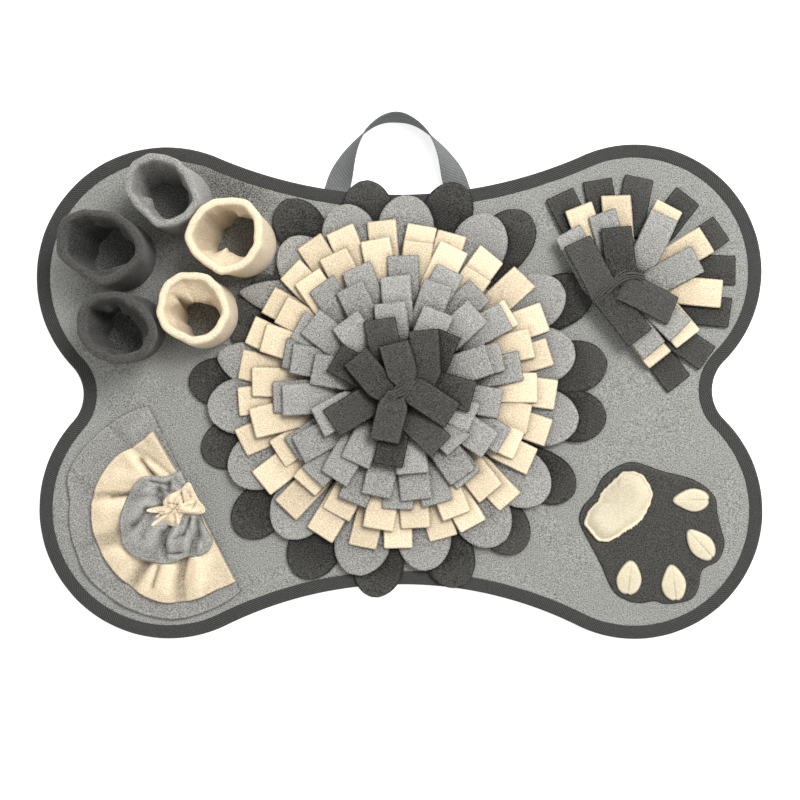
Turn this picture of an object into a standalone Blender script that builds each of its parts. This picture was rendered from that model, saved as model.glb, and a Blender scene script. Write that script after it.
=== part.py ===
"""Snuffle mat: a bone-shaped fleece mat for hiding dog treats, lying flat on the floor.

A grey panel is bound with charcoal tape and has a webbing handle at its top edge. On it are
sewn a flower of petals and square-cut strips, five cups, a corner tuft, a half-round rosette
and a paw. Sizes are in millimetres and are scaled to metres when a mesh is made. The origin is
on the floor under the middle of the mat, +Y points to the handle and +Z up.
"""

import math
from collections import namedtuple

import bmesh
import bpy
import numpy as np

MM = 0.001
GAP = 0.3  # clearance between two pieces that touch

# Base panel and the tape bound round it
PANEL_THICK = 4.0
BINDING_WIDTH = 14.0
BINDING_THICK = 4.6
BINDING_LAYER = 1.2  # one layer of the folded tape
BINDING_ROUND = 1.4  # how far its folded edge is rounded
TONGUE_THICK = BINDING_THICK - 2 * (BINDING_LAYER + GAP)

Lobe = namedtuple("Lobe", "x y radius waist")  # waist: hollow radius between it and the next
LOBES = (
    Lobe(242.4, 125.0, 131.1, 472.0),
    Lobe(-240.9, 118.8, 134.4, 41.0),
    Lobe(-238.3, -120.1, 134.2, 409.0),
    Lobe(242.2, -122.5, 132.3, 42.6),
)
LOBE_STEPS = 12
WAIST_STEP = 40.0  # longest side in a hollow
FEWEST_WAIST_STEPS = 4

# Carry handle
WEBBING_WIDTH = 26.0
WEBBING_THICK = 1.5
HANDLE_FEET = ((-64.1, 212.0), (57.9, 214.0))
HANDLE_RISE = 92.0  # the arch's control points stand this far beyond its feet
HANDLE_PINCH = 27.7  # and lean this far towards each other
HANDLE_TAIL = 32.0  # length sewn under the mat
HANDLE_STEPS = 22
HANDLE_FLAT, HANDLE_EDGE = 180.0, 75.0  # twist of the webbing at its feet and at its middle
HANDLE_TURN = 0.36  # share of the arch in which it turns on edge
RECESS_BELOW = 1.0  # its cutters start this far under the mat

# Fringe and petals
BACKING_HALF = 2.5
BACKING_THICK = 2.0
SEAT = PANEL_THICK + GAP
BACKING_TOP = SEAT + BACKING_THICK
FLEECE_HALF = 1.25  # half of one layer's thickness
YAW, ROLL, REACH = 1.2, 1.8, 3.0  # how unevenly strands lie: degrees, degrees, millimetres
SEED = 7
RISE_RUN = 3.0  # a strand rises from its backing within this distance
CREST_SHARE, CREST_LIFT = 0.5, 0.5  # where along it the curve is pulled highest, and by how much
STRIP_FLARE = 1.6  # a strip has its full width this much sooner than at its tip
STRAND_GAP = 1.2  # room between two strands of a ring
PETAL_ROOM = 3.0  # petals stop this far from the cups
PETAL_CLEAR = 0.4  # half width that has to pass a cup, as a share of the widest
TUCKED_HALF = 6.0  # half width of the tip of a petal that is squeezed between the cups
STRIP_LEVELS = (0.16, 0.4, 0.7, 1.0)
PETAL_LEVELS = (0.2, 0.45, 0.65, 0.82, 0.94, 1.0)
PETAL_SHOULDER = 0.5  # share of its length at which a petal is widest
PETAL_TIP = 0.16  # width of the tip, as a share of the widest
WIDEST_GAP = 24.0  # degrees of backing between strands that stay one straight side

FLOWER_CENTRE = np.array((-4.0, 7.0))
CROWN_CENTRE = np.array((0.0, 3.0))
TUFT_CENTRE = np.array((241.0, 115.9))


def spread(count, phase):
    """Directions of evenly spaced strands, in degrees."""
    return tuple(phase + 360.0 / count * i for i in range(count))


# centre: 0 at the flower's centre, 1 at its crown's. Radii, widths and heights are to the
# middle of the cloth.
Ring = namedtuple("Ring", "name finish levels centre root tip foot width crest end directions")
FLOWER = (
    Ring("petals_charcoal", "charcoal", PETAL_LEVELS, 0.0, 140, 217.7, 40, 52, 8.0, 7.6,
         spread(17, 10.5)),
    Ring("petals_grey", "light grey", PETAL_LEVELS, 0.0, 122, 192.4, 38, 57, 12.6, 11.6,
         spread(16, 11.3)),
    Ring("fringe_cream_outer", "cream", STRIP_LEVELS, 0.0, 105, 165.4, 20, 30, 18.2, 15.6,
         spread(26, 9.7)),
    Ring("fringe_cream_inner", "cream", STRIP_LEVELS, 0.1, 88, 144.7, 20, 31, 24.8, 21.4,
         spread(22, 0.1)),
    Ring("fringe_grey_outer", "light grey", STRIP_LEVELS, 0.3, 71, 125.8, 20, 31, 31.3, 27.6,
         spread(18, 8.7)),
    Ring("fringe_grey_middle", "light grey", STRIP_LEVELS, 0.5, 54, 112.2, 18, 31, 37.8, 33.3,
         spread(15, 18.7)),
    Ring("fringe_grey_inner", "light grey", STRIP_LEVELS, 0.7, 38, 87.1, 19, 32, 44.6, 40.8,
         spread(10, 22.8)),
    Ring("crown_charcoal_outer", "charcoal", STRIP_LEVELS, 0.9, 23, 73.9, 16, 31, 51.2, 46.4,
         spread(7, 51.0)),
    Ring("crown_charcoal_inner", "charcoal", STRIP_LEVELS, 1.0, 9, 54.8, 8, 30, 57.5, 53.0,
         (144, 99, 57, -26, -109)),
)
TUFT = (
    Ring("tuft_charcoal_base", "charcoal", STRIP_LEVELS, 0.0, 46, 108, 17, 29, 8.0, 7.6,
         (131, 112, 88, 59, 30, 6, -19, -46, -68)),
    Ring("tuft_cream", "cream", STRIP_LEVELS, 0.0, 34, 88.5, 17, 29, 13.4, 12.2,
         (130, 101, 64, 29, -8, -46, -75)),
    Ring("tuft_grey", "light grey", STRIP_LEVELS, 0.0, 23, 76, 12, 29, 19.4, 17.2,
         (146, 114, 63, 21, -45, -77)),
    Ring("tuft_charcoal_top", "charcoal", STRIP_LEVELS, 0.0, 12, 61, 7, 26, 27.0, 23.0,
         (205, 157, 110, -36, -75, -108)),
)

# Cups: open fleece tubes sewn on by one end
CUP_HEIGHT = 66.0
CUP_WALL = 5.0
CUP_ROUND = 2.0  # rounding of the rim
CUP_SIDES = 26
CUP_BULGE = 1.5
DENT_RISE = 1.5  # dents deepen towards the rim by this power
Cup = namedtuple("Cup", "name finish x y base rim_x rim_y half_x half_y")
CUPS = (
    Cup("cup_light_grey", "light grey", -228.0, 196.0, 35.5, -235.3, 200.5, 36.5, 35.5),
    Cup("cup_charcoal_upper", "charcoal", -288.0, 140.0, 37.5, -296.4, 143.3, 43.0, 37.0),
    Cup("cup_charcoal_lower", "charcoal", -275.5, 65.5, 35.5, -283.6, 64.6, 33.5, 36.5),
    Cup("cup_cream_upper", "cream", -161.4, 152.1, 37.0, -171.4, 155.3, 39.5, 36.5),
    Cup("cup_cream_lower", "cream", -203.8, 81.5, 36.5, -203.8, 85.3, 34.5, 35.0),
)
Dent = namedtuple("Dent", "cup direction depth spread")  # degrees, millimetres, degrees
DENTS = (
    Dent("cup_light_grey", 215, 5.0, 26),
    Dent("cup_light_grey", 70, 2.5, 30),
    Dent("cup_charcoal_upper", 75, 9.0, 24),
    Dent("cup_charcoal_upper", 300, 8.0, 22),
    Dent("cup_charcoal_lower", 100, 7.0, 24),
    Dent("cup_charcoal_lower", 30, 5.0, 20),
    Dent("cup_cream_upper", 215, 7.0, 20),
    Dent("cup_cream_upper", 60, 4.0, 24),
    Dent("cup_cream_lower", 85, 8.0, 22),
    Dent("cup_cream_lower", 250, 3.0, 26),
)

# Rosette: half-round layers about the middle of their cut edge
ROSETTE_CENTRE = np.array((-211.0, -108.6))
ROSETTE_STEPS = 30
RUFFLE_ROWS = (0.0, 0.35, 0.7, 1.0)  # from a ruffle's inner end to its edge
Edge = namedtuple("Edge", "direction radius")  # degrees, millimetres
BASE_EDGE = (
    Edge(116.6, 106.4),
    Edge(137.2, 115.7),
    Edge(147.3, 120.5),
    Edge(163.4, 130.6),
    Edge(171.1, 134.0),
    Edge(181.0, 128.5),
    Edge(191.0, 132.5),
    Edge(218.0, 137.5),
    Edge(245.0, 131.5),
    Edge(258.8, 127.6),
    Edge(278.0, 116.5),
    Edge(296.3, 107.3),
)
CREAM_EDGE = (
    Edge(121.5, 81.3),
    Edge(146.1, 87.2),
    Edge(168.8, 91.5),
    Edge(188.0, 106.5),
    Edge(212.0, 112.0),
    Edge(236.0, 112.0),
    Edge(260.2, 109.2),
    Edge(296.3, 95.8),
)
GREY_EDGE = (
    Edge(112.0, 32.0),
    Edge(134.0, 46.0),
    Edge(156.3, 56.5),
    Edge(180.0, 72.0),
    Edge(204.3, 80.6),
    Edge(228.0, 76.0),
    Edge(249.0, 71.0),
    Edge(289.5, 52.7),
)
# inner: share of the edge's radius; low, high: floor of the ruffle at its edge and at its
# inner end; wave: height of the folds at the edge
Ruffle = namedtuple("Ruffle", "name finish edge inner low high wave folds")
RUFFLES = (
    Ruffle("rosette_cream", "cream", CREAM_EDGE, 0.16, 7.6, 7.9, 7.0, 6.5),
    Ruffle("rosette_grey", "light grey", GREY_EDGE, 0.22, 15.2, 11.2, 9.0, 4.5),
)
ROSETTE_THICK = 3.0
BUD_CENTRE = np.array((-231.7, -120.0))
BUD_RADIUS, BUD_POINTS, BUD_POINT = 24.0, 7, 7.0
BUD_LOW, BUD_HIGH, BUD_WAVE = 18.4, 18.9, 8.0
BUD_STEPS = 28

# Paw
PAW_THICK = 2.5
Corner = namedtuple("Corner", "x y")
PAW_EDGE = (
    Corner(246.2, -72.4),
    Corner(203.8, -112.5),
    Corner(188.3, -132.4),
    Corner(196.6, -157.2),
    Corner(213.1, -194.5),
    Corner(241.0, -218.3),
    Corner(262.0, -216.2),
    Corner(283.5, -219.3),
    Corner(305.0, -203.8),
    Corner(311.0, -187.2),
    Corner(336.2, -156.2),
    Corner(328.9, -132.0),
    Corner(327.0, -109.7),
    Corner(310.4, -94.1),
    Corner(272.0, -81.7),
)
PAW_STEPS = 3  # sides between two corners
Pad = namedtuple("Pad", "name x y half_long half_wide turn height point sides")
PADS = (
    Pad("paw_pad", 226.0, -117.9, 43.5, 24.0, 46, 13.0, 0.0, 24),
    Pad("paw_toe_1", 301.0, -111.7, 19.0, 12.4, 180, 4.6, 0.35, 16),
    Pad("paw_toe_2", 311.4, -158.3, 19.5, 11.9, 135, 4.6, 0.35, 16),
    Pad("paw_toe_3", 283.5, -197.6, 19.0, 12.8, 99, 4.6, 0.35, 16),
    Pad("paw_toe_4", 236.9, -192.4, 18.0, 13.2, 85, 4.6, 0.35, 16),
)
PAD_LEVELS = ((1.0, 0.0), (0.95, 0.5), (0.72, 0.88), (0.35, 1.0))  # share of half width, of height

FINISHES = {  # linear colour, roughness
    "base grey": ((0.30, 0.30, 0.285), 0.95),
    "light grey": ((0.36, 0.36, 0.35), 0.95),
    "charcoal": ((0.065, 0.065, 0.062), 0.95),
    "cream": ((0.93, 0.78, 0.57), 0.95),
    "pale cream": ((0.88, 0.82, 0.66), 0.95),
    "binding": ((0.055, 0.055, 0.053), 0.8),
    "webbing": ((0.15, 0.165, 0.18), 0.7),
}


def clear_scene():
    for found in list(bpy.data.objects):
        bpy.data.objects.remove(found, do_unlink=True)


def finish_of(name):
    """Principled material of the given finish, made once."""
    found = bpy.data.materials.get(name)
    if found:
        return found
    colour, roughness = FINISHES[name]
    made = bpy.data.materials.new(name)
    made.use_nodes = True
    shader = made.node_tree.nodes["Principled BSDF"]
    shader.inputs["Base Color"].default_value = (*colour, 1.0)
    shader.inputs["Roughness"].default_value = roughness
    shader.inputs["Metallic"].default_value = 0.0
    return made


def piece(name, finish, points, faces, sharp_angle=50.0):
    """Object made of points in millimetres and faces, with its faces turned outwards."""
    mesh = bpy.data.meshes.new(name)
    mesh.from_pydata([tuple(MM * float(v) for v in point) for point in points], [], faces)
    shape = bmesh.new()
    shape.from_mesh(mesh)
    bmesh.ops.recalc_face_normals(shape, faces=shape.faces)
    shape.to_mesh(mesh)
    shape.free()
    mesh.shade_smooth()
    mesh.set_sharp_from_angle(angle=math.radians(sharp_angle))
    mesh.materials.append(finish_of(finish))
    made = bpy.data.objects.new(name, mesh)
    bpy.context.collection.objects.link(made)
    return made


def skin(loops, joined=False):
    """Points and faces of a skin over equal loops, capped unless the last joins the first."""
    rows, sides = len(loops), len(loops[0])
    points = [point for loop in loops for point in loop]
    faces = []
    for row in range(rows if joined else rows - 1):
        here, above = row * sides, (row + 1) % rows * sides
        for i in range(sides):
            j = (i + 1) % sides
            faces.append((here + i, here + j, above + j, above + i))
    if not joined:
        faces.append(tuple(reversed(range(sides))))
        faces.append(tuple(range((rows - 1) * sides, rows * sides)))
    return points, faces


def cut(target, cutter):
    """Takes the cutter's shape out of the target."""
    cutter.hide_render = True
    cutter.display_type = "WIRE"
    boolean = target.modifiers.new("recess for " + cutter.name, "BOOLEAN")
    boolean.operation = "DIFFERENCE"
    boolean.solver = "EXACT"
    boolean.object = cutter


def smoothstep(value):
    value = np.clip(value, 0.0, 1.0)
    return value * value * (3.0 - 2.0 * value)


def direction_of(degrees):
    angle = math.radians(degrees)
    return np.array((math.cos(angle), math.sin(angle)))


def bezier(controls, t):
    """Point and unit direction at t of a cubic curve in a plane."""
    a, b, c, d = (np.array(control, float) for control in controls)
    s = 1.0 - t
    place = s**3 * a + 3 * s * s * t * b + 3 * s * t * t * c + t**3 * d
    heading = s * s * (b - a) + 2 * s * t * (c - b) + t * t * (d - c)
    return place, heading / np.linalg.norm(heading)


# ---------------------------------------------------------------- panel, binding and handle


def waist_centre(lobe, following):
    """Middle of the hollow arc that touches both lobes, on the mat's outer side."""
    near = lobe.radius + lobe.waist
    far = following.radius + lobe.waist
    a, b = np.array((lobe.x, lobe.y)), np.array((following.x, following.y))
    apart = np.linalg.norm(b - a)
    along = (near**2 - far**2 + apart**2) / (2 * apart)
    across = math.sqrt(near**2 - along**2)
    way = (b - a) / apart
    return a + along * way + across * np.array((way[1], -way[0]))


def outline(inset):
    """Points of the bone's outline, moved inwards by inset: four lobes and four hollows."""
    centres = [waist_centre(lobe, LOBES[(i + 1) % 4]) for i, lobe in enumerate(LOBES)]
    points = []
    for i, lobe in enumerate(LOBES):
        middle = np.array((lobe.x, lobe.y))
        before, after = centres[i - 1] - middle, centres[i] - middle
        start = math.atan2(before[1], before[0])
        sweep = (math.atan2(after[1], after[0]) - start) % (2 * math.pi)
        for step in range(LOBE_STEPS + 1):
            angle = start + sweep * step / LOBE_STEPS
            way = np.array((math.cos(angle), math.sin(angle)))
            points.append(middle + (lobe.radius - inset) * way)
        following = LOBES[(i + 1) % 4]
        back = middle - centres[i]
        ahead = np.array((following.x, following.y)) - centres[i]
        start = math.atan2(back[1], back[0])
        sweep = (math.atan2(ahead[1], ahead[0]) - start + math.pi) % (2 * math.pi) - math.pi
        steps = max(FEWEST_WAIST_STEPS, round(abs(sweep) * lobe.waist / WAIST_STEP))
        for step in range(1, steps):
            angle = start + sweep * step / steps
            way = np.array((math.cos(angle), math.sin(angle)))
            points.append(centres[i] + (lobe.waist + inset) * way)
    return points


def outline_loops(profile):
    """One outline at height z for each inset and z of a profile."""
    return [[(x, y, z) for x, y in outline(inset)] for inset, z in profile]


def base_panel():
    """Flat panel whose thin rim reaches inside the folded binding."""
    edge = BINDING_WIDTH + GAP
    tip = BINDING_LAYER + 2 * GAP
    low = BINDING_LAYER + GAP
    high = low + TONGUE_THICK
    profile = ((edge, 0.0), (edge, low), (tip, low), (tip, high), (edge, high), (edge, PANEL_THICK))
    return piece("base_panel", "base grey", *skin(outline_loops(profile)), sharp_angle=30.0)


def edge_binding():
    """Tape folded round the panel's rim: an open C in section, its mouth facing inwards."""
    top, layer, half_round = BINDING_THICK, BINDING_LAYER, BINDING_ROUND
    profile = (
        (BINDING_WIDTH, 0.0),
        (half_round, 0.0),
        (0.0, half_round),
        (0.0, top - half_round),
        (half_round, top),
        (BINDING_WIDTH, top),
        (BINDING_WIDTH, top - layer),
        (layer + GAP, top - layer),
        (layer + GAP, layer),
        (BINDING_WIDTH, layer),
    )
    return piece("edge_binding", "binding", *skin(outline_loops(profile), joined=True))


def handle_path():
    """Middle line of the webbing seen from above, with the direction and twist at each point."""
    left, right = (np.array(foot) for foot in HANDLE_FEET)
    lean = np.array((HANDLE_PINCH, HANDLE_RISE))
    controls = (left, left + lean, right + lean * (-1, 1), right)
    way = lean / np.linalg.norm(lean)
    rows = [(left - HANDLE_TAIL * way, way, HANDLE_FLAT)]
    for step in range(HANDLE_STEPS + 1):
        t = step / HANDLE_STEPS
        turned = smoothstep(min(t, 1.0 - t) / HANDLE_TURN)
        rows.append((*bezier(controls, t), HANDLE_FLAT + (HANDLE_EDGE - HANDLE_FLAT) * turned))
    rows.append((right - HANDLE_TAIL * way * (-1, 1), way * (1, -1), HANDLE_FLAT))
    return rows


def carry_handle():
    """Webbing that lies flat at its feet and turns on edge round the arch."""
    loops = []
    up = np.array((0.0, 0.0, 1.0))
    for place, way, twist in handle_path():
        out = np.array((-way[1], way[0], 0.0))
        wide = math.cos(math.radians(twist)) * out + math.sin(math.radians(twist)) * up
        thick = np.cross(wide, (way[0], way[1], 0.0))
        lift = (WEBBING_WIDTH * abs(wide[2]) + WEBBING_THICK * abs(thick[2])) / 2
        middle = np.array((place[0], place[1], lift))
        half_wide, half_thick = WEBBING_WIDTH / 2 * wide, WEBBING_THICK / 2 * thick
        loops.append(
            [
                middle - half_wide - half_thick,
                middle + half_wide - half_thick,
                middle + half_wide + half_thick,
                middle - half_wide + half_thick,
            ]
        )
    return piece("carry_handle", "webbing", *skin(loops))


def handle_recess(name, foot, inwards):
    """Cutter for the space that one tail of the webbing takes under the mat."""
    way = np.array(inwards) / np.linalg.norm(inwards)
    side = np.array((-way[1], way[0])) * (WEBBING_WIDTH / 2 + GAP)
    start = np.array(foot) - way * (HANDLE_TAIL + GAP)
    end = np.array(foot) + way * BINDING_WIDTH
    corners = (start - side, end - side, end + side, start + side)
    loops = [[(x, y, z) for x, y in corners] for z in (-RECESS_BELOW, WEBBING_THICK + GAP)]
    return piece(name, "webbing", *skin(loops))


# ---------------------------------------------------------------- fringe and petals


def width_at(ring, share, foot, widest, tip_width):
    """Width of a strand at a share of its length: strips flare, petals swell and round off."""
    if ring.levels is STRIP_LEVELS:
        return foot + (widest - foot) * smoothstep(share * STRIP_FLARE)
    if share < PETAL_SHOULDER:
        return foot + (widest - foot) * smoothstep(share / PETAL_SHOULDER)
    past = (share - PETAL_SHOULDER) / (1.0 - PETAL_SHOULDER)
    return tip_width + (widest - tip_width) * math.sqrt(max(0.0, 1.0 - past**2))


def room_between(ring, radius, share):
    """Width that a strand has at this radius before it meets the nearest strand of its ring."""
    ordered = sorted(float(degrees) % 360.0 for degrees in ring.directions)
    apart = min((ordered[i] - ordered[i - 1]) % 360.0 for i in range(len(ordered)))
    return 2 * radius * math.tan(math.radians(apart / 2 - YAW * share)) - STRAND_GAP


def foot_of(ring):
    return min(ring.foot, room_between(ring, ring.root, 0.0))


def free_reach(centre, degrees, half_width, reach):
    """How far a petal of this half width can run before it meets a cup."""
    way = direction_of(degrees)
    for cup in CUPS:
        offset = np.array((cup.x, cup.y)) - centre
        along = offset @ way
        across = abs(way[0] * offset[1] - way[1] * offset[0])
        keep = cup.base + PETAL_ROOM + half_width
        if along > 0 and across < keep:
            reach = min(reach, along - math.sqrt(keep**2 - across**2))
    return reach


def strand_loops(ring, centre, degrees, draw):
    """Cross sections of one strand above its backing, from its rise to its end."""
    yaw, roll, reach = draw.uniform(-1.0, 1.0, 3) * (YAW, ROLL, REACH)
    tip, widest = ring.tip + reach, float(ring.width)
    tip_width = PETAL_TIP * widest
    if ring.levels is PETAL_LEVELS:
        if free_reach(centre, degrees + yaw, PETAL_CLEAR * widest, tip) < tip:
            yaw = 0.0
            tip = free_reach(centre, degrees, TUCKED_HALF, tip)
            widest = min(widest, ring.foot)
    foot = foot_of(ring)
    controls = (
        (ring.root, BACKING_TOP),
        (ring.root + RISE_RUN, ring.crest),
        (ring.root + CREST_SHARE * (tip - ring.root), ring.crest + CREST_LIFT),
        (tip, ring.end),
    )
    loops = []
    for share in ring.levels:
        (radius, height), (run, climb) = bezier(controls, share)
        out = direction_of(degrees + yaw * share)
        along = np.array((-out[1], out[0], 0.0))
        down = np.array((climb * out[0], climb * out[1], -run))
        lean = math.radians(roll) * share
        side, under = along * math.cos(lean) + down * math.sin(lean), down - along * math.sin(lean)
        middle = np.array((*(centre + radius * out), height))
        width = min(width_at(ring, share, foot, widest, tip_width), room_between(ring, radius, share))
        half = side * width / 2
        deep = under * FLEECE_HALF
        loops.append(
            [middle - half - deep, middle + half - deep, middle + half + deep, middle - half + deep]
        )
    return loops


def backing_stations(ring):
    """Angles round the backing in degrees, with the number of the strand that starts at each."""
    half = math.degrees(foot_of(ring) / 2 / ring.root)
    ordered = sorted(float(degrees) % 360.0 for degrees in ring.directions)
    stations = []
    for number, degrees in enumerate(ordered):
        stations.append((degrees - half, number))
        stations.append((degrees + half, None))
        following = ordered[number + 1] if number + 1 < len(ordered) else ordered[0] + 360.0
        room = following - degrees - 2 * half
        parts = math.ceil(room / WIDEST_GAP)
        for extra in range(1, parts):
            stations.append((degrees + half + room * extra / parts, None))
    return ordered, stations


def fringe(ring, centre, draw):
    """Ring of strands that grow out of the top of one narrow round backing."""
    ordered, stations = backing_stations(ring)
    inner, outer = ring.root - BACKING_HALF, ring.root + BACKING_HALF
    section = ((inner, SEAT), (inner, BACKING_TOP), (outer, BACKING_TOP), (outer, SEAT))
    points = []
    for degrees, _ in stations:
        way = direction_of(degrees)
        points += [(*(centre + radius * way), height) for radius, height in section]
    faces = []
    for i, (_, number) in enumerate(stations):
        here, there = 4 * i, 4 * ((i + 1) % len(stations))
        for k in (0, 2, 3):
            after = (k + 1) % 4
            faces.append((here + k, here + after, there + after, there + k))
        if number is None:
            faces.append((here + 1, here + 2, there + 2, there + 1))
            continue
        below = (here + 1, there + 1, there + 2, here + 2)
        for loop in strand_loops(ring, centre, ordered[number], draw):
            first = len(points)
            points += [tuple(point) for point in loop]
            above = tuple(range(first, first + 4))
            for k in range(4):
                after = (k + 1) % 4
                faces.append((below[k], below[after], above[after], above[k]))
            below = above
        faces.append(below)
    return piece(ring.name, ring.finish, points, faces, sharp_angle=40.0)


# ---------------------------------------------------------------- cups


def cup_radius(cup, half_x, half_y, dented):
    """Function that gives a cup's outer radius in a direction, with its dents."""
    dents = [dent for dent in DENTS if dent.cup == cup.name]

    def radius(degrees):
        way = direction_of(degrees)
        found = 1.0 / math.hypot(way[0] / half_x, way[1] / half_y)
        for dent in dents:
            away = (degrees - dent.direction + 180.0) % 360.0 - 180.0
            found -= dented * dent.depth * math.exp(-((away / dent.spread) ** 2))
        return found

    return radius


def fleece_cup(cup):
    """Open tube, round where it is sewn on and dented at its doubled rim."""
    # share of the height, depth below the outer face
    profile = (
        (0.0, 0.0),
        (0.6, 0.0),
        (1.0 - CUP_ROUND / CUP_HEIGHT, 0.0),
        (1.0, CUP_ROUND),
        (1.0, CUP_WALL - CUP_ROUND),
        (1.0 - CUP_ROUND / CUP_HEIGHT, CUP_WALL),
        (0.5, CUP_WALL),
        (0.0, CUP_WALL),
    )
    loops = []
    for share, depth in profile:
        blend = smoothstep(share)
        half_x = cup.base + (cup.half_x - cup.base) * blend + CUP_BULGE * math.sin(math.pi * share)
        half_y = cup.base + (cup.half_y - cup.base) * blend + CUP_BULGE * math.sin(math.pi * share)
        radius = cup_radius(cup, half_x, half_y, share**DENT_RISE)
        middle = np.array((cup.x, cup.y)) + share * np.array((cup.rim_x - cup.x, cup.rim_y - cup.y))
        loop = []
        for i in range(CUP_SIDES):
            degrees = 360.0 / CUP_SIDES * i
            x, y = middle + (radius(degrees) - depth) * direction_of(degrees)
            loop.append((x, y, SEAT + CUP_HEIGHT * share))
        loops.append(loop)
    return piece(cup.name, cup.finish, *skin(loops, joined=True))


# ---------------------------------------------------------------- rosette


def edge_radius(edge, degrees):
    """Radius of a layer's edge in a direction, read between the rows of its table."""
    return np.interp(degrees, [row.direction for row in edge], [row.radius for row in edge])


def rosette_base():
    """Flat half-round piece under the ruffles."""
    loop = [ROSETTE_CENTRE + row.radius * direction_of(row.direction) for row in BASE_EDGE]
    loops = [[(x, y, z) for x, y in loop] for z in (SEAT, SEAT + ROSETTE_THICK)]
    return piece("rosette_base", "light grey", *skin(loops))


def plate(name, finish, top, thick):
    """Closed sheet under a grid of points, a given thickness downwards."""
    rows, columns = len(top), len(top[0])
    points = [point for row in top for point in row]
    points += [(x, y, z - thick) for x, y, z in points]
    under = rows * columns
    faces = []
    for r in range(rows - 1):
        for c in range(columns - 1):
            a, b = r * columns + c, (r + 1) * columns + c
            faces.append((a, a + 1, b + 1, b))
            faces.append((under + a, under + b, under + b + 1, under + a + 1))
    border = list(range(columns))
    border += [r * columns + columns - 1 for r in range(1, rows)]
    border += [(rows - 1) * columns + c for c in range(columns - 2, -1, -1)]
    border += [r * columns for r in range(rows - 2, 0, -1)]
    for i, a in enumerate(border):
        b = border[(i + 1) % len(border)]
        faces.append((a, under + a, under + b, b))
    return piece(name, finish, points, faces, sharp_angle=60.0)


def gathered_ruffle(ruffle):
    """Half-round ruffle that rises in radial folds towards its edge."""
    start, end = ruffle.edge[0].direction, ruffle.edge[-1].direction
    top = []
    for t in RUFFLE_ROWS:
        row = []
        for step in range(ROSETTE_STEPS + 1):
            share = step / ROSETTE_STEPS
            degrees = start + (end - start) * share
            radius = edge_radius(ruffle.edge, degrees) * (ruffle.inner + (1.0 - ruffle.inner) * t)
            fold = 0.5 - 0.5 * math.cos(2 * math.pi * ruffle.folds * share)
            height = ruffle.high + (ruffle.low - ruffle.high) * t + ruffle.wave * t * fold
            x, y = ROSETTE_CENTRE + radius * direction_of(degrees)
            row.append((x, y, height + ROSETTE_THICK))
        top.append(row)
    return plate(ruffle.name, ruffle.finish, top, ROSETTE_THICK)


def rosette_bud():
    """Crumpled star of cloth at the rosette's heart."""
    loops = []
    for drop in (ROSETTE_THICK, 0.0):
        for share in (0.45, 1.0) if drop else (1.0, 0.45):
            loop = []
            for step in range(BUD_STEPS):
                angle = 2 * math.pi * step / BUD_STEPS
                ray = math.cos(BUD_POINTS * angle)
                radius = share * (BUD_RADIUS + BUD_POINT * ray)
                x, y = BUD_CENTRE + radius * np.array((math.cos(angle), math.sin(angle)))
                wave = BUD_WAVE * share * (0.5 + 0.5 * ray)
                height = BUD_HIGH + (BUD_LOW - BUD_HIGH) * share + wave
                loop.append((x, y, height + ROSETTE_THICK - drop))
            loops.append(loop)
    return piece("rosette_bud", "cream", *skin(loops))


# ---------------------------------------------------------------- paw


def rounded(corners, steps):
    """Smooth closed line through the corners: a cubic between each two, with the slopes of
    their neighbours (Catmull-Rom)."""
    places = [np.array(corner) for corner in corners]
    points = []
    for i, b in enumerate(places):
        a, c, d = places[i - 1], places[(i + 1) % len(places)], places[(i + 2) % len(places)]
        for step in range(steps):
            t = step / steps
            square, cube = 2 * a - 5 * b + 4 * c - d, 3 * b - a - 3 * c + d
            points.append(b + 0.5 * ((c - a) * t + square * t**2 + cube * t**3))
    return points


def paw_patch():
    loop = rounded(PAW_EDGE, PAW_STEPS)
    loops = [[(x, y, z) for x, y in loop] for z in (SEAT, SEAT + PAW_THICK)]
    return piece("paw_patch", "charcoal", *skin(loops))


def paw_pad(pad):
    """Low filled dome: oval, or leaf-shaped where it has a point."""
    seat = SEAT + PAW_THICK + GAP
    long_way = direction_of(pad.turn)
    wide_way = np.array((-long_way[1], long_way[0]))
    loops = []
    for share, rise in PAD_LEVELS:
        loop = []
        for step in range(pad.sides):
            angle = 2 * math.pi * step / pad.sides
            narrow = 1.0 - pad.point * max(0.0, math.cos(angle))
            place = (
                np.array((pad.x, pad.y))
                + share * pad.half_long * math.cos(angle) * long_way
                + share * pad.half_wide * math.sin(angle) * narrow * wide_way
            )
            loop.append((*place, seat + pad.height * rise))
        loops.append(loop)
    return piece(pad.name, "pale cream", *skin(loops))


def build():
    clear_scene()
    panel = base_panel()
    binding = edge_binding()
    carry_handle()
    for name, foot, side in zip(("left_recess", "right_recess"), HANDLE_FEET, (1, -1)):
        recess = handle_recess(name, foot, (side * HANDLE_PINCH, HANDLE_RISE))
        cut(panel, recess)
        cut(binding, recess)
    draw = np.random.default_rng(SEED)
    for ring in FLOWER:
        fringe(ring, FLOWER_CENTRE + (CROWN_CENTRE - FLOWER_CENTRE) * ring.centre, draw)
    for ring in TUFT:
        fringe(ring, TUFT_CENTRE, draw)
    for cup in CUPS:
        fleece_cup(cup)
    rosette_base()
    for ruffle in RUFFLES:
        gathered_ruffle(ruffle)
    rosette_bud()
    paw_patch()
    for pad in PADS:
        paw_pad(pad)


build()
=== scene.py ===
"""Looks of the snuffle mat: fleece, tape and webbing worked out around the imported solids.

Shapes are worked out in millimetres, in the frame of the solids, and scaled to metres when
a mesh is made. Directions are in degrees, counterclockwise from +X seen from above.
"""

import math
from collections import namedtuple

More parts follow.
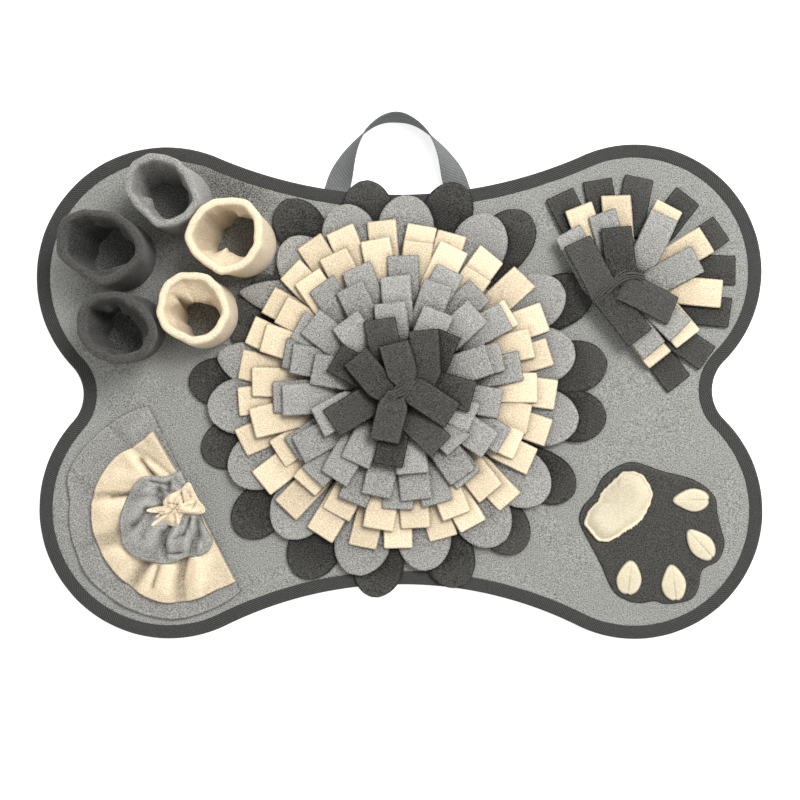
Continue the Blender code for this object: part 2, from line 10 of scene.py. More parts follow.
import bpy
import numpy as np
from bpy.props import FloatProperty, FloatVectorProperty, IntProperty, PointerProperty
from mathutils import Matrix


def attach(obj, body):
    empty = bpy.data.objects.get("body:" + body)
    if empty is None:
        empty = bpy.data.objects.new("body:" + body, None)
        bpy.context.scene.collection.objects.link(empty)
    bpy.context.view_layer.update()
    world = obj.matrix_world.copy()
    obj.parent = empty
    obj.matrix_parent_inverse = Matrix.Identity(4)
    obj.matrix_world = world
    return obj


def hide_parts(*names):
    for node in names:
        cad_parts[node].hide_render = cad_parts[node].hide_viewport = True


bl_info = {
    "name": "Snuffle Mat",
    "version": (1, 0, 0),
    "blender": (4, 5, 0),
    "location": "View3D > Sidebar > Snuffle Mat",
    "description": "Dresses a bone-shaped snuffle mat in fleece, twill tape and webbing",
    "category": "Object",
}

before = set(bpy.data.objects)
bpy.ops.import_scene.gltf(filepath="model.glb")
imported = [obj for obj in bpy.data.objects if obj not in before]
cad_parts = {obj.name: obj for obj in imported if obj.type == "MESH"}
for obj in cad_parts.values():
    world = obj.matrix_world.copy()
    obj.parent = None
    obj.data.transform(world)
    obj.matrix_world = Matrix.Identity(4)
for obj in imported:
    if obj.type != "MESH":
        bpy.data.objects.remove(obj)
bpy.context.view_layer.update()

MM = 0.001
GAP = 0.3  # clearance between two pieces that touch
SEED = 11

# ---------------------------------------------------------------- measures of the mat

PANEL_THICK = 4.0
BINDING_WIDTH, BINDING_THICK, BINDING_LAYER = 14.0, 4.6, 1.2
PANEL_TUCK = 1.8  # the panel ends this far inside the tape's fold
PANEL_RIM, PANEL_RIM_LOW, PANEL_RIM_TOP = 10.0, 1.5, 3.1  # its thin rim: width and heights
PANEL_STEP, BINDING_STEP = 3.0, 2.4  # between the points of their outlines
RIDGE_LIMITS = (-1.2, 1.4)  # lowest hollow and highest ridge of the base cloth
STITCH_INSET, STITCH_SHARE = 2.6, 0.36  # of the outline, and half a stitch to their pitch
STITCH_HALF_WIDE, STITCH_HALF_THICK = 0.35, 0.22
SEAT = PANEL_THICK + GAP

Lobe = namedtuple("Lobe", "x y radius waist")  # waist: hollow radius between it and the next
LOBES = (
    Lobe(242.4, 125.0, 131.1, 472.0),
    Lobe(-240.9, 118.8, 134.4, 41.0),
    Lobe(-238.3, -120.1, 134.2, 409.0),
    Lobe(242.2, -122.5, 132.3, 42.6),
)

# Soft ridges and hollows of the base cloth: middle, half length, half width, turn, height
RIDGES = (
    (-128, 204, 46, 9, -14, 1.3), (-150, 186, 40, 8, 40, 0.9), (180, 190, 60, 14, 20, -0.9),
    (300, 30, 44, 12, 70, 0.8), (232, 5, 60, 16, 20, -0.8), (262, -30, 50, 14, 35, 0.8),
    (-330, 40, 44, 12, 75, 0.8), (-300, -10, 60, 16, 10, -0.9), (-268, 10, 50, 12, -20, 0.9),
    (-120, -196, 60, 12, 12, 0.9), (-90, -214, 50, 9, 8, -0.8), (130, -200, 60, 14, -22, -0.8),
    (165, -150, 50, 14, -50, 0.7), (346, -130, 50, 9, 85, 0.8), (335, 150, 50, 10, -60, 0.8),
    (-345, -120, 50, 9, 95, 0.7),
)
# Painted shade and painted light on the base cloth round the cups, with dye for height
PANEL_LIGHT_AND_SHADE = (
    (-172, 212, 46, 22, -20, -8.5), (-352, 112, 40, 24, 80, 6.0), (-235, 28, 60, 16, 0, 7.0),
    (-150, 118, 20, 16, 60, -10.0), (-158, 84, 24, 10, 100, -8.0),
)

# Ends of the handle's arch, its curve's inner control points from there, and what is sewn under
HANDLE_FEET = ((-64.1, 212.0), (57.9, 214.0))
HANDLE_LEANS = ((27.7, 98.0), (-27.7, 86.0))
HANDLE_TAIL, TAIL_STEPS = 32.0, 14
ARCH_STEPS, RIB_STEPS, TWIST_MEAN = 150, 53, 7
# Share of the arch, from either end, and twist of the webbing there
HANDLE_TWIST = ((0.0, 180.0), (0.06, 150.0), (0.14, 120.0), (0.24, 98.0), (0.5, 76.0))
WEBBING_WIDTH, WEBBING_THICK = 26.0, 1.5
WEBBING_RIBS, RIB_DEPTH = 6.5, 0.16

BACKING_HALF, BACKING_TOP, BACKING_THICK = 2.5, 6.3, 1.8
CUTTING_WASTE = 1.05  # cloth that a ring's strands are cut from, to their own
FLOWER_CENTRE, CROWN_CENTRE = (-4.0, 7.0), (0.0, 3.0)
TUFT_CENTRE, TUFT_SWEEP = (241.0, 115.9), (-78.0, 145.0)  # sweep of its backings

# under: painted shade below the next ring. centre: share of the way from the flower's
# centre to the crown's. root: radius of the backing. foot, width: of a strand where it starts
# and where it is widest. crest, end: heights. tips: direction and distance of each strand's end
# from the ring's centre, the direction in which the strand runs (its bearing, if not given), how
# far a petal is folded lengthwise or a strip narrowed, and how much sooner a strip starts, to
# reach under the seam.
Ring = namedtuple("Ring", "name cloth petal under centre root foot width crest end tips")
Tip = namedtuple("Tip", "bearing reach heading pinch tuck", defaults=(None, 0.0, 0.0))
FLOWER = (
    Ring("petals_charcoal", "charcoal", True, 3.2, 0.0, 140, 40, 53, 8.0, 7.6, (
        (179, 212.9), (121.3, 222.1), (99.3, 213.2), (73.6, 217.6), (52.8, 222.6),
        (27.2, 224.3), (6.2, 218.2), (-9.7, 218.8), (-31.7, 214), (-53.1, 213.6),
        (-72.5, 217.1), (-95.6, 218.9), (-116.5, 220.6), (-137.3, 223.2), (-160.6, 211.6),
        (133, 177, 129, 0.4), (143.5, 183, 143, 0.35), (152.5, 186, 150, 0.3),
        (162, 178, 166, 0.25))),
    Ring("petals_grey", "light grey", True, 3, 0.0, 122, 38, 58, 12.6, 11.6, (
        (170.5, 185.5, 165, 0.35), (148.9, 187, 171, 0.8), (126.9, 187), (106.8, 193.4),
        (86.2, 195.3), (59.4, 200.8), (31, 198.8), (11.6, 187.1), (-12.3, 190.4), (-36.7, 192.5),
        (-56.7, 194.6), (-79.5, 192.2), (-102.4, 199), (-128.6, 194.3), (-150.9, 193.9),
        (-172.6, 194.7))),
    Ring("fringe_cream_outer", "cream", False, 2.6, 0.0, 105, 20, 30, 18.2, 15.6, (
        (172.4, 160.8), (159.1, 159.8), (145.9, 157.7), (132.4, 161.2), (121.3, 172.7),
        (110, 170.1), (95.4, 169.2), (81, 165.6), (69.9, 165.9), (53.8, 166.2),
        (40.6, 172.7), (25.2, 167.8), (12.2, 161.4), (-3.4, 163.8), (-17.5, 163.5),
        (-29.3, 159.6), (-46, 167.1), (-61.4, 164.3), (-72.8, 164), (-89.3, 166.6),
        (-101.5, 169.2), (-117, 172.2), (-131.4, 170.8), (-143.9, 170.8), (-159.2, 169.6),
        (-174.1, 162.2))),
    Ring("fringe_cream_inner", "cream", False, 2.4, 0.1, 88, 20, 31, 24.8, 21.4, (
        (178.6, 147.3), (160.2, 144.4), (146.2, 141.3), (129.7, 144.2), (115.4, 149.7),
        (98.5, 150.7), (80.8, 148.9), (67.6, 153.2), (54.3, 142), (32.4, 138.9),
        (17.7, 145), (-0.7, 143.5), (-14.3, 139.8), (-26.5, 138.9), (-48.5, 146.1),
        (-65.1, 146.3), (-82.7, 146.3), (-97.7, 147.3), (-115.4, 145.4), (-133, 139.1),
        (-150.5, 140.2), (-165.5, 151.6))),
    Ring("fringe_grey_outer", "light grey", False, 2.6, 0.3, 71, 20, 31, 31.3, 27.6, (
        (163.5, 119.6), (148.7, 118.9), (126.9, 129.9), (109.4, 128), (87.6, 133),
        (65.8, 130.1), (49.6, 128.9), (33.3, 131.6), (9.3, 127.5), (-27.1, 121.7),
        (-52.3, 119.3), (-70.9, 125.8), (-89.7, 124.5), (-111.1, 126.4), (-133.3, 126.2),
        (-148.6, 124.4), (-175.2, 126.2))),
    Ring("fringe_grey_middle", "light grey", False, 2.6, 0.5, 54, 18, 31, 37.8, 33.3, (
        (164.7, 111.6), (143.4, 110.9), (116.1, 113), (91.8, 112.3), (68.4, 113),
        (44.1, 111.3), (16.5, 110), (-9.7, 105), (-32, 110.2), (-53.9, 112.3),
        (-80.8, 115.1), (-101.5, 112.2), (-125.4, 112.9), (-148.1, 119.2),
        (-173.8, 117.4))),
    Ring("fringe_grey_inner", "light grey", False, 2.2, 0.7, 38, 19, 32, 44.6, 40.8, (
        (166.8, 88.9), (129, 87.1), (96.6, 86), (62.7, 87.1), (17.3, 95.7),
        (-22.1, 81.5), (-44.2, 83.7), (-81.1, 87.1), (-120.4, 87.5), (-156.6, 88.6))),
    Ring("crown_charcoal_outer", "charcoal", False, 1.8, 0.9, 15, 20, 31, 51.2, 46.4, (
        (154, 72.2, 150), (105.8, 72.3, 100), (48.3, 74.4, 68, 0.7), (-6.9, 73.6, -16),
        (-54.3, 71.5, -44), (-97.9, 77.8, -100), (-152.4, 76.5, -148))),
    Ring("crown_charcoal_inner", "charcoal", False, 0.5, 1.0, 5, 18, 30, 57.5, 53.0, (
        (144.7, 55.4, 131), (97, 45.8, 105), (68.3, 63.1, 93), (-26.9, 58.5, -33),
        (-106.2, 54.3, -103))),
)
TUFT = (
    Ring("tuft_charcoal_base", "charcoal", False, 1.8, 0.0, 46, 24, 30, 8.0, 7.6, (
        (131.5, 117.4, 117), (110.5, 109.6, 102), (87.6, 105.3, 80), (57.5, 102.8, 53),
        (30, 104.2, 33), (5.5, 105.1, -1), (-19.6, 104.7, -7), (-46.7, 110.6, -33),
        (-66.9, 117.4, -54))),
    Ring("tuft_cream", "cream", False, 2, 0.0, 26, 20, 30, 13.4, 12.2, (
        (128.9, 95.1, 111), (102.6, 88.2, 94), (64.9, 83.5, 63), (28.8, 84.4, 30),
        (-10.1, 90.4, -6), (-48.7, 82.3, -50), (-73.3, 87.3, -50))),
    Ring("tuft_grey", "light grey", False, 1.6, 0.0, 9, 17, 30, 19.4, 17.2, (
        (145.8, 85.4, 119), (118.1, 76.4, 107), (64.7, 71.3, 63), (18.1, 67, 28),
        (-49.3, 70.3, -44), (-76.2, 76.3, -53))),
    Ring("tuft_charcoal_top", "charcoal", False, 0.6, 0.0, 8, 31, 31, 27.0, 23.0, (
        (148.1, 71.4, 117), (112.9, 56.4, 97.3), (-41.6, 49.6, -25.5, 0, 10),
        (-86.5, 60.5, -51, 0, 9))),
)
# Pleated seams that hold the strands of a heap together: height, half width, line
CROWN_SEAM = (60.6, 6.0, ((-12, -10), (-5, -6), (4, -1), (11, 6)))
TUFT_SEAM = (30.4, 5.4, ((-46, -26), (-29, -10), (-14, 1), (-2, 2.5), (8, -2)))
SEAM_OVER = 5.0  # strands start this far below the seam that holds them
SEAM_THICK = 0.6
# Middle line of a strand: run of its steep foot, its crest's share of the way, and its lift
RISE_RUN, CREST_SHARE, CREST_LIFT = 3.0, 0.5, 0.5
STRIP_FLARE, STRIP_CORNER = 16.0, 1.2  # length over which a strip widens, corner radius
PETAL_YAW, STRIP_YAW = 2.0, 5.0  # most degrees by which a strand strays from its bearing
UNEVEN_WIDTH = 0.035  # most share by which one is wider or narrower
# Most skew of a strand's end and bend aside, roll in degrees, droop of its sides and its
# change, and how unevenly high its crest and its end lie
STRAND_SKEW, STRAND_BEND, STRAND_ROLL = 0.045, 0.02, 2.2
STRAND_DROOP, STRAND_SAG, CREST_UNEVEN, END_UNEVEN = 0.55, 0.35, 0.4, 0.9
STRAND_LEVEL = 1.3  # every other strand lies this much higher, the rest lower
STRAND_SHADE, SHADE_REACH = 5.5, 2.4  # painted shadow beside a higher strand, and how far out
GREY_GAIN = 1.5  # dye gained by the light grey strands
UNDERSIDE_SHADE = -7.0  # painted shade on a sheet's underside
PINCH_RISE = 6.0  # height of the ridge of a petal that is fully folded lengthwise
PETAL_ROOM = 4.0  # petals that lie flat stop this far from the cups

CUP_HEIGHT, CUP_BULGE, CUP_HEM = 66.0, 0.6, 12.0  # hem: the cloth turned in at the rim
CUP_TONE = {"cream": -0.8, "light grey": -1.8, "charcoal": -0.4}  # dye added to a whole cup
CUP_SHADE = 4.0  # painted shade down the inside of a cup
RIM_HIGHLIGHT = 2.2  # painted highlight on a cup's rim
CUP_SHADOW, SHADOW_REACH = 3.0, 16.0  # painted shadow on the panel round a cup, and how far out
# Painted shade on the panel inside a cup
FLOOR_SHADE = {"cream": 5.2, "light grey": 7.2, "charcoal": 9.0}
# rim and mouth: radii about (rim_x, rim_y) of the rim's outside and of the narrowest place
# inside, every 20 degrees. floor: radius of the inside at the bottom, about (floor_x, floor_y).
Cup = namedtuple("Cup", "name cloth x y base rim_x rim_y floor floor_x floor_y rim mouth")
CUPS = (
    Cup("cup_light_grey", "light grey", -228.0, 196.0, 34.5, -235.3, 200.5, 22.0, -236, 195,
        (34, 31, 30, 31, 33, 34, 35, 36, 36, 35, 32, 31, 31, 35, 38, 39, 40, 39),
        (25, 22, 21, 24, 26, 26, 27, 29, 27, 25, 20, 16, 16, 23, 30, 32, 33, 29)),
    Cup("cup_charcoal_upper", "charcoal", -288.0, 140.0, 36.0, -296.4, 143.3, 28.0, -287, 139,
        (43, 40, 37, 35, 35, 37, 40, 43, 42, 41, 38, 34, 33, 35, 37, 37, 39, 42),
        (33, 28, 25, 25, 26, 28, 28, 32, 33, 33, 31, 28, 25, 25, 19, 20, 24, 33)),
    Cup("cup_charcoal_lower", "charcoal", -275.5, 65.5, 34.0, -283.6, 64.6, 27.0, -274, 64,
        (42, 38, 34, 32, 33, 34, 35, 36, 35, 34, 33, 33, 34, 35, 36, 39, 42, 43),
        (20, 16, 15, 15, 20, 22, 19, 26, 27, 27, 27, 26, 26, 26, 27, 29, 33, 27)),
    Cup("cup_cream_upper", "cream", -161.4, 152.1, 34.0, -171.4, 155.3, 27.0, -160, 153,
        (35, 36, 37, 38, 37, 35, 35, 35, 37, 39, 39, 37, 36, 37, 37, 37, 36, 35),
        (29, 30, 29, 26, 26, 26, 25, 26, 29, 32, 33, 20, 14, 13, 15, 23, 28, 29)),
    Cup("cup_cream_lower", "cream", -201.8, 80.5, 35.5, -203.8, 85.3, 21.0, -200, 76,
        (34, 32, 31, 31, 32, 33, 34, 34, 34, 34, 36, 37, 36, 36, 37, 38, 37, 36),
        (20, 9, 5, 4, 4, 5, 6, 9, 16, 23, 28, 30, 29, 30, 30, 31, 29, 26)),
)
# Folds inside a cup: direction, depth inwards, half width in degrees
CUP_FOLDS = {
    "cup_light_grey": ((207, 5, 12), (238, -4, 8), (95, 2, 12), (20, 3, 12)),
    "cup_charcoal_upper": ((98, 5, 12), (262, 6, 11), (30, 4, 14), (176, -4, 12)),
    "cup_charcoal_lower": ((112, 4, 16), (68, 6, 12), (148, -4, 10), (250, 4, 14)),
    "cup_cream_upper": ((252, 5, 9), (228, -4, 7), (66, 4, 9), (140, -3, 12)),
    "cup_cream_lower": ((152, -7, 8), (110, 4, 24), (212, 5, 14), (20, -4, 9)),
}
CUP_WRINKLES = ((3, 0.5), (5, 0.5), (9, 0.35), (14, 0.25))  # waves round the cup, height
RIM_HEIGHT, HEM_WIDE, HEM_SWELL = 3.4, 6.5, 0.8  # rolled rim, its width, and its swelling
NARROWEST = 4.0  # least radius that the folds leave inside a cup
HEM_PLACE = (0.94, 0.055)  # where on the way up it swells, and how far
FLOOR_DENT = 2.5  # depth of the dents round the bottom of the inside

ROSETTE_CENTRE = (-211.0, -108.6)
ROSETTE_THICK, BASE_THICK, BUD_THICK = 2.4, 2.3, 1.8
BASE_RISE, BASE_HOLE = 1.3, 0.02  # of its middle surface over the seat, share left open
# Edges of the three layers: directions and radii about the rosette's centre
BASE_EDGE = (
    (116.6, 106.4), (137.2, 115.7), (147.3, 120.5), (163.4, 130.6), (171.1, 134.0),
    (181.0, 128.5), (191.0, 132.5), (218.0, 137.5), (245.0, 131.5), (258.8, 127.6),
    (278.0, 116.5), (296.3, 107.3),
)
CREAM_EDGE = (
    (121.5, 81.3), (131.2, 80.1), (143.0, 83.1), (147.5, 88.2), (153.6, 92.1), (164.9, 97.5),
    (174.5, 102.9), (181.7, 105.6), (190.0, 107.4), (200.8, 110.4), (208.0, 111.1),
    (219.2, 111.4), (231.8, 112.5), (242.2, 113.1), (252.1, 112.5), (258.6, 110.3),
    (269.4, 104.5), (283.3, 96.7), (296.5, 96.0),
)
GREY_EDGE = (
    (111.3, 31.4), (132.0, 32.4), (146.2, 38.6), (151.2, 48.4), (156.6, 56.1), (165.8, 61.1),
    (178.2, 67.0), (188.6, 73.0), (199.4, 79.3), (208.0, 83.8), (216.2, 86.2), (224.1, 84.3),
    (233.3, 79.7), (242.4, 75.0), (253.7, 67.9), (262.7, 59.2), (271.5, 60.0), (286.5, 55.8),
    (296.0, 47.0),
)
# Creases and ridges: a line's two ends, its height and its half width
BASE_CREASES = (
    (-288.4, -43, -279.4, -57.7, -2.2, 3), (-329.6, -93.8, -314.1, -102.3, -1.8, 3),
    (-323.1, -160.7, -314.1, -151.2, -2.2, 3), (-294.8, -196.7, -282.7, -192.4, -2.2, 3),
    (-276.8, -41.7, -262.6, -26.3, 1.4, 7), (-334.7, -111.3, -332.1, -137, 1, 8),
    (-306.4, -183.4, -296.1, -192.4, 1.2, 7),
)
CREAM_CREASES = (
    (-265.3, -70.3, -253.3, -84.1, -7, 3), (-294.8, -107.7, -278.1, -105.7, -5, 2.2),
    (-308.9, -151.8, -279.4, -156.9, -2.5, 6), (-281.4, -205.6, -256.3, -173.6, -5, 4),
    (-253.8, -199.2, -247.4, -180, -5, 3), (-223.5, -188.2, -218.4, -169.8, -5.5, 2.8),
    (-240.9, -204.4, -235.8, -180, 3, 5), (-207.6, -205.6, -199.9, -173.6, 3, 9),
    (-278.1, -63.4, -267.9, -77.5, 3, 5), (-248.6, -46.7, -230.7, -74.9, 3, 9),
)
GREY_CREASES = (
    (-252.5, -90.8, -235.4, -94.7, -5, 2.2), (-235.4, -94, -236, -99.3, -7, 2.8),
    (-245, -100, -243.4, -115, -7, 4.4), (-258.2, -119.5, -244.7, -118.6, -7, 2.8),
    (-259, -120.7, -271.1, -135.7, -6.5, 3.2), (-254.3, -130, -261.8, -145, -3.5, 5),
    (-234.7, -137.9, -239.3, -143.6, -7, 2.6), (-241.1, -146.5, -239, -165, -8, 4.2),
    (-214, -130, -219.7, -145, -7, 2.2), (-219.7, -145, -229.7, -148.6, -3, 1.6),
    (-206.5, -132.2, -206.5, -146.5, -5, 3.2), (-206.5, -146.5, -212.2, -162.2, -7.5, 3.8),
    (-223.3, -163.6, -232.5, -164.7, -5, 1.8), (-219.7, -96.5, -221, -100.8, -5, 1.6),
    (-268.2, -94.3, -259, -86.1, 3.5, 2.6), (-259, -86.1, -239, -88.3, 3, 2.6),
    (-239, -88.3, -216.8, -79.3, 3, 3.2), (-256.8, -103.6, -268.2, -126.5, 2.5, 6),
    (-243.3, -137.2, -256.8, -153.6, 3, 5), (-226.8, -139.3, -234.7, -153.6, 3.5, 3),
    (-211.1, -128.6, -217.2, -157.9, 3.5, 3.2), (-201.1, -128.6, -194, -151.5, 2.5, 5),
    (-235.4, -167.5, -226.8, -169.3, 2.5, 2),
)
BUD_CREASES = (
    (-235.2, -112.5, -225.3, -114.1, -1.6, 1), (-225.3, -114.1, -234.5, -123.5, -1.8, 1.2),
    (-221.6, -103.2, -219.9, -111.8, -3, 1.2), (-219.6, -111.8, -226, -118.9, -1.2, 1),
    (-207.3, -111.8, -210.5, -118.2, -1.4, 1.1), (-213.9, -102.5, -212.5, -106.1, -1.2, 1.8),
    (-227, -121.7, -228.8, -133.1, -1.4, 1.6), (-238.8, -123.9, -243.8, -125.3, -1.6, 1),
    (-236.6, -108.9, -228.8, -104.7, 1.2, 3), (-223.1, -114.6, -211.7, -111.8, 1.6, 1.6),
    (-226, -124.6, -224.9, -133.1, 1.5, 1.2), (-218.9, -117.5, -206.1, -120.3, 1, 3),
    (-255.9, -120, -241.6, -123.2, 1.2, 1.2), (-250.9, -134.6, -240.2, -127.4, 1.2, 1.2),
)
# Folds of a layer: direction, half width in degrees, height, and the share of the way out by
# which it has risen by a quarter
BASE_FOLDS = (
    (133, 7, 2.2, 0.7), (142, 3, -0.8, 0.7), (152, 7, 1.0, 0.7), (171, 6, 2.0, 0.7),
    (181, 3, -0.8, 0.7), (206, 4, -0.8, 0.7), (213, 5, 2.4, 0.7), (228, 4, -0.8, 0.7),
    (236, 5, 2.2, 0.7), (262, 8, 1.6, 0.7), (285, 6, 1.2, 0.7),
)
CREAM_FOLDS = (
    (130, 9, -2.0, 0.2), (141, 3.5, -5.0, 0.3), (149, 6, 5.0, 0.1), (164, 9, 8.0, 0.0),
    (179.5, 2.6, -6.5, 0.2), (190, 9, 9.0, 0.0), (207, 4.5, -5.0, 0.0), (219, 9, 9.0, 0.0),
    (234.5, 3.5, -6.5, 0.0), (247, 8, 8.5, 0.0), (262.5, 3.0, -8.5, 0.0), (276, 8, 7.0, 0.0),
)
GREY_FOLDS = (
    (122, 8, 4.0, 0.0), (158, 9, 5.0, 0.0), (181, 5, -4.0, 0.0), (196, 7, 4.5, 0.0),
    (207, 3, -2.5, 0.1), (219, 8, 4.5, 0.0), (238, 4, -5.0, 0.0), (248, 4, 4.5, 0.0),
    (262, 5, 3.5, 0.0), (270, 3.5, -5.0, 0.0), (280, 5, 3.5, 0.0),
)
Ruffle = namedtuple("Ruffle", "name cloth edge folds creases tone puff inner low high")
RUFFLES = (
    Ruffle("rosette_cream", "cream", CREAM_EDGE, CREAM_FOLDS, CREAM_CREASES, -2.3, 2.0, 0.16,
           9.4, 10.2),
    Ruffle("rosette_grey", "light grey", GREY_EDGE, GREY_FOLDS, GREY_CREASES, 0.5, 4.0, 0.22,
           18.8, 18.4),
)
FOLD_SWIRL = 9.0  # degrees by which a fold's inner end lags behind its outer end
RUFFLE_SLACK, BUD_SLACK = 1.12, 1.15  # cloth taken up by their folds
BUD_CENTRE, BUD_MEAN_RADIUS, BUD_FLAT = (-228.8, -118.2), 22.0, 58.0
BUD_LOW, BUD_HIGH = 24.5, 28.5
# Direction and radius of the bud's points and hollows
BUD_EDGE = (
    (20, 26.1), (43.9, 26.7), (62, 30.5), (70.5, 21.5), (90, 16.4), (122.8, 14.4), (154.2, 13.1),
    (172, 13), (183.7, 28.2), (195, 16), (205, 22), (209, 17), (216.5, 29.2), (226, 17.3),
    (251.4, 17.8), (267.8, 18.1), (285.1, 16.2), (303.8, 11), (334.1, 11.5), (343.3, 20),
    (348.9, 27.5), (356.2, 31.4),
)

PAW_CENTRE = (262.0, -148.0)
PAW_THICK = 2.5
PAD_SEAT = SEAT + PAW_THICK + GAP
PALM_SIDE, TOE_SIDE = 1.7, 1.3  # heights of the pads' sides
# Corners of the patch's smooth outline
PAW_EDGE = (
    (241.9, -72.1), (270.7, -81.3), (303.7, -90.6), (324.2, -107.1), (327.3, -124.6),
    (331.4, -142.1), (334.5, -155.5), (328.4, -173.0), (311.9, -183.2), (307.8, -201.8),
    (298.5, -214.2), (274.8, -218.2), (262.5, -215.2), (248.0, -217.2), (233.6, -214.2),
    (219.3, -203.8), (206.9, -177.1), (196.6, -157.5), (185.3, -133.9), (188.4, -118.4),
    (199.7, -105.0), (209.0, -87.5), (224.4, -76.3),
)
PALM_CENTRE, PALM_HEIGHT = (224.5, -117.5), 12.0
FRAYED_SIDE = 298.0  # direction in which its edge is frayed
# Direction and radius of the palm's edge about its middle
PALM_EDGE = (
    (-164, 33.6), (-153, 39.1), (-136, 39), (-126, 40.5), (-112, 39.1), (-95, 32.3), (-76, 26.6),
    (-49, 25.8), (-32, 27.2), (-7, 29.7), (11, 34.3), (23, 37.8), (35, 38.7), (55, 40.6),
    (74, 37.6), (83, 35.3), (92, 29.8), (113, 24.2), (142, 22.5), (169, 22.3),
)
# Half length and half width, the direction of the narrow end, and how narrow it is
Toe = namedtuple("Toe", "name x y half_long half_wide turn point")
TOES = (
    Toe("paw_toe_1", 299.5, -110.9, 18.8, 12.0, 180, 0.42),
    Toe("paw_toe_2", 309.0, -156.6, 19.0, 11.8, 132, 0.30),
    Toe("paw_toe_3", 281.4, -196.0, 18.6, 12.6, 97, 0.34),
    Toe("paw_toe_4", 235.8, -190.8, 17.8, 13.0, 83, 0.36),
)
TOE_HEIGHT = 4.6

# Points along the grids of the pieces
PANEL_GRID, PATCH_GRID, PALM_GRID, TOE_GRID, BUD_GRID = 151, 91, 111, 61, 111
BASE_GRID, RUFFLE_GRID, PAW_STEPS = (60, 160), (64, 260), 24
RING_STEPS, SEAM_STEPS, PLEAT_STEPS = 120, 46, 45
CUP_ROUND, CUP_UP, CUP_OVER = 180, 32, 13

# Stage, in metres and degrees
CAMERA_PLACE, CAMERA_LENS = (0.0, -0.008, 1.35), 58.7
LAMP_PLACE, LAMP_TURN, LAMP_SIZE = (1.2, 1.45, 2.7), (-28.2, 23.9, 0.0), 1.5
FLOOR_REACH, FLOOR_HEIGHT = 4.0, -0.0004


# ---------------------------------------------------------------- settings


def shade(name, description, colour):
    """Colour setting."""
    return FloatVectorProperty(
        name=name, description=description, subtype="COLOR", size=3, min=0.0, max=1.0,
        default=colour,
    )


class SnuffleColours(bpy.types.PropertyGroup):
    """Colours of the mat's cloths."""

    base_grey: shade("Base", "Fleece of the base panel", (0.30, 0.30, 0.28))
    light_grey: shade("Light grey", "Light grey fleece", (0.305, 0.30, 0.28))
    charcoal: shade("Charcoal", "Charcoal fleece", (0.063, 0.0615, 0.056))
    cream: shade("Cream", "Cream fleece", (0.78, 0.649, 0.46))
    pale_cream: shade("Pale cream", "Plush of the paw's pads", (0.676, 0.602, 0.441))
    binding: shade("Binding", "Twill tape round the edge", (0.055, 0.055, 0.053))
    webbing: shade("Webbing", "Webbing of the carry handle", (0.168, 0.174, 0.173))


class SnuffleSizes(bpy.types.PropertyGroup):
    """Sizes that change how the cloths lie."""

    fleece: FloatProperty(
        name="Fleece", description="Thickness of one layer of fleece", default=0.0024,
        min=0.001, max=0.004, unit="LENGTH", precision=4,
    )
    looseness: FloatProperty(
        name="Looseness", description="How unevenly the strands lie", default=1.0, min=0.0,
        max=2.0, subtype="FACTOR",
    )
    relief: FloatProperty(
        name="Relief", description="Height of the base cloth's soft ridges", default=1.0,
        min=0.0, max=2.0, subtype="FACTOR",
    )
    pebble: FloatProperty(
        name="Pebble", description="Size of the fleece's pebbles", default=0.0013, min=0.0005,
        max=0.01, unit="LENGTH", precision=4,
    )
    stitches: IntProperty(
        name="Stitches", description="Stitches along the binding", default=560, min=50, max=900
    )


class SnuffleLight(bpy.types.PropertyGroup):
    """Studio light."""

    sky: FloatProperty(
        name="Sky", description="Strength of the even light", default=0.68, min=0.0, max=3.0
    )
    lamp: FloatProperty(
        name="Lamp", description="Power of the soft lamp", default=100.0, min=0.0, max=900.0,
        unit="POWER",
    )


# ---------------------------------------------------------------- surfaces


def smoothstep(value):
    """Smooth climb from 0 to 1: three times the square less twice the cube."""
    value = np.clip(value, 0.0, 1.0)
    return value * value * (3.0 - 2.0 * value)


def bump_at(value, middle, spread):
    """Bell curve that is 1 at its middle."""
    return np.exp(-(((value - middle) / spread) ** 2))


def apart(degrees, direction):
    """Signed angle from a direction, within half a turn."""
    return (degrees - direction + 180.0) % 360.0 - 180.0


def way_of(degrees):
    """Unit vectors in a plane for directions in degrees."""
    angle = np.radians(degrees)
    return np.stack((np.cos(angle), np.sin(angle)), axis=-1)


def polar(centre, radius, degrees):
    """Points at a distance and in a direction from a centre."""
    return np.array(centre) + radius[..., None] * way_of(degrees)


def unit(vectors):
    """Vectors divided by their lengths."""
    return vectors / np.linalg.norm(vectors, axis=-1, keepdims=True)


def left_of(ways):
    """Vectors of a plane turned by a quarter to the left."""
    return np.stack((-ways[..., 1], ways[..., 0]), axis=-1)


def paired(first, second):
    """Points whose two numbers come from two grids."""
    return np.stack(np.broadcast_arrays(first, second), axis=-1)


def lifted(plan, height):
    """Points of a plane given their heights."""
    height = np.broadcast_to(height, plan.shape[:-1])
    return np.concatenate((plan, height[..., None]), axis=-1)


def bezier(share, first, second, third, last):
    """Cubic curve of four control points, each weighed by its Bernstein polynomial."""
    rest = 1.0 - share
    return (rest**3 * first + 3 * rest * rest * share * second
            + 3 * rest * share * share * third + share**3 * last)


def cubic_through(rows, share):
    """Cubic of Catmull and Rom from the second to the third of four rows."""
    a, b, c, d = rows
    return b + 0.5 * ((c - a) * share + (2 * a - 5 * b + 4 * c - d) * share**2
                      + (3 * b - a - 3 * c + d) * share**3)


def mean_along(values, reach):
    """Mean of each value and of those up to some steps away."""
    kernel = np.ones(2 * reach + 1) / (2 * reach + 1)
    return np.convolve(np.pad(values, reach, mode="edge"), kernel, "valid")


